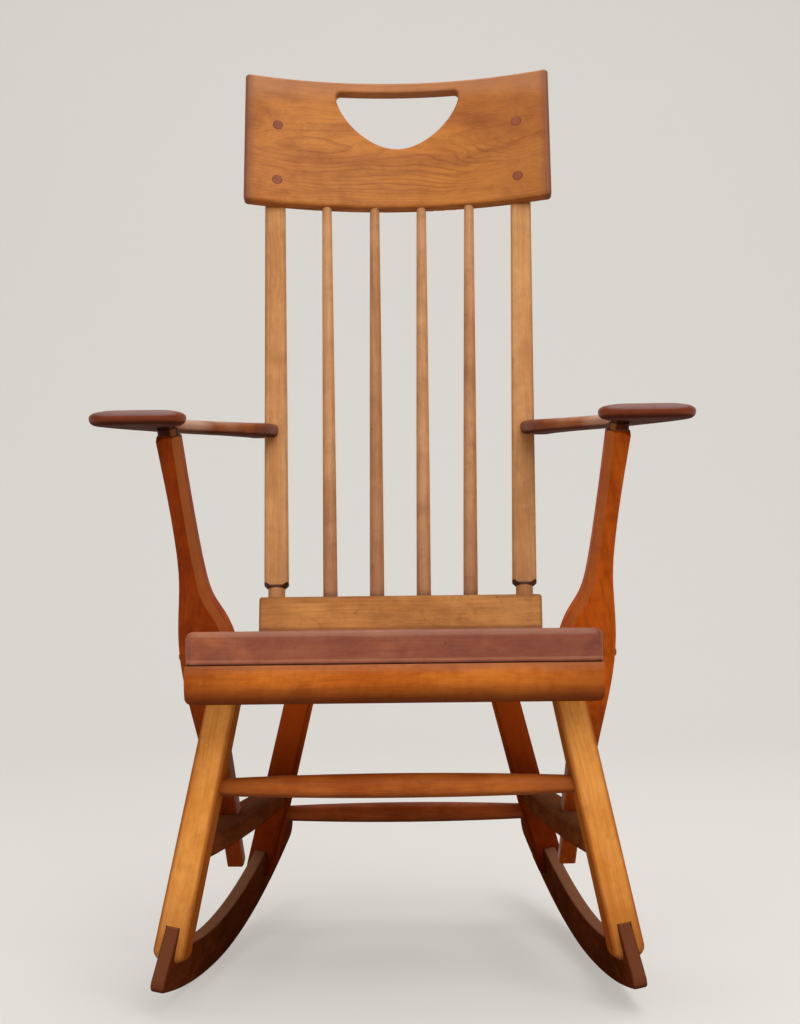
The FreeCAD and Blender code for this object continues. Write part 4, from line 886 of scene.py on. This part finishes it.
stretcherRadii = {
    "front_stretcher": (0.0086, 0.0128, 0.0086),
    "rear_stretcher": (0.0086, 0.0122, 0.0086),
}
frontStretcherLook = {
    "radius": 0.012, "heart": (0.0, 0.03, 0.06), "ringSpacing": 0.008, "ringStrength": 0.25,
    "barVariation": 0.0,
    "light": tint(211, 113, 40), "middle": tint(179, 86, 26), "deep": tint(120, 51, 15),
    "shades": (shadeAlong("X", 0.10, 0.18, 0.45, tint(120, 54, 18), mirror=True),),
}
# painted shade: the rear stretcher is a darker copy of the front one
rearStretcherLook = dict(frontStretcherLook, light=tint(184, 88, 32), middle=tint(152, 64, 18),
                         deep=tint(94, 34, 8), gloss=0.08)


def makeStretcher(nodeName, look):
    low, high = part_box(nodeName)
    middle = (low + high) / 2
    half = Vector(((high.x - low.x) / 2, 0, 0))
    foot, swell, head = stretcherRadii[nodeName]
    line = barCarrier(nodeName + "Line", [(middle - half, middle + half)])
    bar = grownMesh(nodeName.replace("_s", "S") + "Bar", line, barTree, {
        "Foot Radius": foot, "Middle Radius": swell, "Head Radius": head, "Seed": 8.0,
        "Wood": makeBarWood(nodeName + "Wood", look),
    })
    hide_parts(nodeName)
    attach(bar, "root")


makeStretcher("front_stretcher", frontStretcherLook)
makeStretcher("rear_stretcher", rearStretcherLook)
print("stretchers turned")


capFaceShare = 0.85  # of a cap's rings that lie on its face, the rest on its side


def makeCapTree():
    # a wooden cap on each point of the carrier, turned to face along "facing"
    tree, given, outputs = newTree("woodenCaps", (
        ("Radius", "Float", 0.0062), ("Rise", "Float", 0.0004), ("Depth", "Float", 0.004),
        ("Fullness", "Float", 0.3), ("Rings", "Int", 15), ("Sides", "Int", 41), ("Wood", "Material", None),
    ))
    grid = addNode(tree, "GeometryNodeMeshGrid", Size_X=1.0, Size_Y=1.0, Vertices_X=given["Rings"],
                   Vertices_Y=given["Sides"])
    # the grid's X runs out from the middle over the face and down the side, its Y goes once round
    grown = splitVector(tree, tree.nodes.new("GeometryNodeInputPosition").outputs[0])
    out = calculate(tree, "ADD", grown[0], 0.5)
    turn = multiply(tree, calculate(tree, "ADD", grown[1], 0.5), -2 * math.pi)
    onFace = calculate(tree, "MINIMUM", calculate(tree, "DIVIDE", out, capFaceShare), 1.0)
    climb = multiply(tree, onFace, math.pi / 2)
    lift = calculate(tree, "MAXIMUM", calculate(tree, "COSINE", climb), 0.0)
    lift = calculate(tree, "POWER", lift, given["Fullness"])
    radius = multiply(tree, calculate(tree, "SINE", climb), given["Radius"])
    downSide = calculate(tree, "MAXIMUM", calculate(tree, "SUBTRACT", out, capFaceShare), 0.0)
    drop = multiply(tree, downSide, calculate(tree, "DIVIDE", given["Depth"], capFaceShare - 1))
    place = joinVector(tree, multiply(tree, radius, calculate(tree, "COSINE", turn)),
                       multiply(tree, radius, calculate(tree, "SINE", turn)),
                       calculate(tree, "MULTIPLY_ADD", lift, given["Rise"], drop))
    kept = keepValue(tree, grid.outputs[0], "capOut", out)
    moved = addNode(tree, "GeometryNodeSetPosition", Geometry=kept, Position=place)
    sewn = addNode(tree, "GeometryNodeMergeByDistance", Geometry=moved.outputs[0], Distance=joinWithin)
    aligned = addNode(tree, "FunctionNodeAlignRotationToVector", {"axis": "Z"},
                      Vector=namedValue(tree, "facing", "FLOAT_VECTOR"))
    caps = addNode(tree, "GeometryNodeInstanceOnPoints", Points=given["Geometry"], Instance=sewn.outputs[0],
                   Rotation=aligned.outputs[0])
    closeTree(tree, caps.outputs[0], given["Wood"], outputs)
    return tree


def capCarrier(name, seats):
    mesh = bpy.data.meshes.new(name)
    mesh.from_pydata([tuple(seat) for seat, facing in seats], [], [])
    facings = mesh.attributes.new("facing", "FLOAT_VECTOR", "POINT")
    facings.data.foreach_set("vector", [part for seat, facing in seats for part in facing.normalized()])
    return mesh


def makeCapWood(name, centre, choices):
    # as any wood, with a dark line round the cap's rim
    material, tree, shader, place, spec = startWood(name, choices)
    colour, relief, streak = woodColour(tree, grainedPlace(tree, place, centre, spec), place, spec)
    share = spread(tree, attribute(tree, "capOut"), spec["rimStart"], capFaceShare - 0.01, 0.0, 0.8)
    colour = mixColour(tree, share, colour, spec["rimColour"])
    finishWood(tree, shader, (colour, relief, streak), place, spec)
    return material


capTree = makeCapTree()

crestPlugChoices = {"across": 0.1528, "along": (0.6275, 0.5495), "radius": 0.0062, "rise": 0.0003}
plugGrain = {"grain": (0, 1, 0), "heart": (0.0, 0.02, 0.02), "ringSpacing": 0.003, "nickAmount": 0.0}
crestPlugLook = {
    **plugGrain, "ringStrength": 0.3, "underside": 0.0, "rimStart": 0.55, "rimColour": tint(92, 50, 38),
    "light": tint(163, 90, 63), "middle": tint(143, 74, 51), "deep": tint(105, 51, 35),
}


def makeCrestPlugs():
    seats = []
    for across in (-crestPlugChoices["across"], crestPlugChoices["across"]):
        for along in crestPlugChoices["along"]:
            seat = onBack(across, along, behindAt(across))
            seats.append((seat, onBack(0, along, bendMiddle) - seat))
    plugs = grownMesh("crestPlugs", capCarrier("plugSeats", seats), capTree, {
        "Radius": crestPlugChoices["radius"], "Rise": crestPlugChoices["rise"],
        "Wood": makeCapWood("plugWood", seats[0][0], crestPlugLook),
    })
    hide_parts("crest_plugs")
    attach(plugs, "root")


makeCrestPlugs()

buttonChoices = {
    "radius": 0.0055, "rise": 0.0036, "depth": 0.0045, "fullness": 1.0,
    "turnDegrees": 3,  # the supports stand turned out by this
    "forward": 0.0001,  # of the middle of the box that holds both
}
buttonLook = {
    **plugGrain, "grain": (1, 0, 0), "underside": 0.0, "rimStart": 0.6, "rimColour": tint(60, 24, 12),
    "light": tint(140, 66, 34), "middle": tint(116, 48, 24), "deep": tint(70, 26, 12),
    "roughness": (0.26, 0.36), "coat": 0.15,
}


def makeSupportButtons():
    low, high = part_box("support_buttons")
    middle = (low + high) / 2
    turn = math.radians(buttonChoices["turnDegrees"])
    reach = high.x - buttonChoices["rise"] * math.cos(turn)
    seats = []
    for side in (-1, 1):
        outward = Vector((side * math.cos(turn), math.sin(turn), 0))
        seat = Vector((side * reach, middle.y - buttonChoices["forward"], middle.z))
        seats.append((seat, outward))
    buttons = grownMesh("supportButtons", capCarrier("buttonSeats", seats), capTree, {
        "Radius": buttonChoices["radius"], "Rise": buttonChoices["rise"], "Depth": buttonChoices["depth"],
        "Fullness": buttonChoices["fullness"],
        "Wood": makeCapWood("buttonWood", seats[0][0], buttonLook),
    })
    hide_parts("support_buttons")
    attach(buttons, "root")


makeSupportButtons()
print("plugs and buttons set")

armPlugLook = {
    **plugGrain, "light": tint(140, 80, 54), "middle": tint(116, 62, 42), "deep": tint(72, 36, 22),
}
dress("arm_plugs", armPlugLook)

dowelLook = {
    "grain": (0, 0, 1), "underside": 0.0, "roughness": (0.55, 0.7), "coat": 0.0,
    "light": tint(220, 188, 138), "middle": tint(204, 168, 116), "deep": tint(160, 120, 76),
}
dress("apron_dowels", dowelLook)

pinLook = dict(dowelLook, grain=(1, 0, 0), light=tint(150, 92, 44), middle=tint(128, 72, 32),
               deep=tint(90, 46, 18))
dress("rocker_pins", pinLook)

screwLook = {
    "dark": tint(120, 118, 112), "bright": tint(170, 168, 160), "roughness": (0.3, 0.5), "brushing": 900.0,
}


def makeScrewSteel():
    material, tree, shader = newMaterial("screwSteel")
    place = tree.nodes.new("ShaderNodeTexCoord").outputs["Object"]
    brushed = noise(tree, place, screwLook["brushing"], 4.0)
    colour = mixColour(tree, spread(tree, brushed, 0.35, 0.65), screwLook["dark"], screwLook["bright"])
    low, high = screwLook["roughness"]
    rough = shown(tree, brushed, "sheen", high, low)
    fillInputs(tree, shader, Base_Color=colour, Roughness=rough, Metallic=1.0)
    return material


screwSteel = makeScrewSteel()
for nodeName in ("crest_screws", "arm_screws", "support_screws", "riser_screws"):
    giveMaterial(nodes[nodeName].data, screwSteel)
print("small parts finished")

stageChoices = {
    "floorColour": tint(226, 222, 216),
    "floorRoughness": 0.9, "floorGloss": 0.1,
    "backColour": tint(246, 241, 234),
    "backShare": 0.45,  # of that colour in what the camera and the gloss see
    "floorSize": 14.0,
    "sweepRadius": 1.2, "sweepSteps": 12,
    "wallBehind": 3.2,
}


def makeStage():
    size, radius, behind = stageChoices["floorSize"], stageChoices["sweepRadius"], stageChoices["wallBehind"]
    profile = [(-size / 2, 0.0), (behind - radius, 0.0)]
    steps = stageChoices["sweepSteps"]
    for index in range(1, steps + 1):
        angle = math.pi / 2 * index / steps
        profile.append((behind - radius + radius * math.sin(angle), radius - radius * math.cos(angle)))
    profile.append((behind, size / 2))
    verts = [(side * size / 2, back, up) for back, up in profile for side in (-1, 1)]
    faces = [(2 * i, 2 * i + 1, 2 * i + 3, 2 * i + 2) for i in range(len(profile) - 1)]
    mesh = bpy.data.meshes.new("studioSweep")
    mesh.from_pydata(verts, [], faces)
    for face in mesh.polygons:
        face.use_smooth = True
    sweep = addObject("studioSweep", mesh)
    material, tree, shader = newMaterial("palePaper")
    fillInputs(tree, shader, Base_Color=stageChoices["floorColour"], Roughness=stageChoices["floorRoughness"],
               Specular_IOR_Level=stageChoices["floorGloss"])
    ray = tree.nodes.new("ShaderNodeLightPath").outputs
    seen = calculate(tree, "MAXIMUM", ray["Is Camera Ray"], ray["Is Glossy Ray"])
    glow = addNode(tree, "ShaderNodeEmission", Color=stageChoices["backColour"])
    blend = tree.nodes.new("ShaderNodeMixShader")
    tree.links.new(multiply(tree, seen, stageChoices["backShare"]), blend.inputs[0])
    tree.links.new(shader.outputs[0], blend.inputs[1])
    tree.links.new(glow.outputs[0], blend.inputs[2])
    output = next(n for n in tree.nodes if n.type == "OUTPUT_MATERIAL")
    tree.links.new(blend.outputs[0], output.inputs["Surface"])
    giveMaterial(mesh, material)


makeStage()

lampChoices = {
    "keyAbove": {"position": (0.9, -2.3, 2.7), "aim": (0, 0, 0.45), "size": 2.4, "watts": 56},
    "fillLeft": {"position": (-2.4, -2.0, 1.3), "aim": (0, 0, 0.5), "size": 2.2, "watts": 14},
    "overhead": {"position": (0.2, 0.5, 3.0), "aim": (0, 0, 0.4), "size": 2.6, "watts": 40},
}
roomChoices = {"colour": (0.93, 0.96, 1.0, 1.0), "strength": 0.30}


def makeLamps():
    for name, choice in lampChoices.items():
        data = bpy.data.lights.new(name, "AREA")
        data.shape = "SQUARE"
        data.size = choice["size"]
        data.energy = choice["watts"]
        lamp = addObject(name, data)
        lamp.location = choice["position"]
        aim = Vector(choice["aim"]) - Vector(choice["position"])
        lamp.rotation_euler = aim.to_track_quat("-Z", "Y").to_euler()


def makeRoom():
    world = bpy.data.worlds.new("paleRoom")
    world.use_nodes = True
    background = next(n for n in world.node_tree.nodes if n.type == "BACKGROUND")
    fillInputs(world.node_tree, background, Color=roomChoices["colour"], Strength=roomChoices["strength"])
    bpy.context.scene.world = world


makeLamps()
makeRoom()
bpy.context.scene.view_settings.view_transform = "Standard"
print("stage and lamps set")
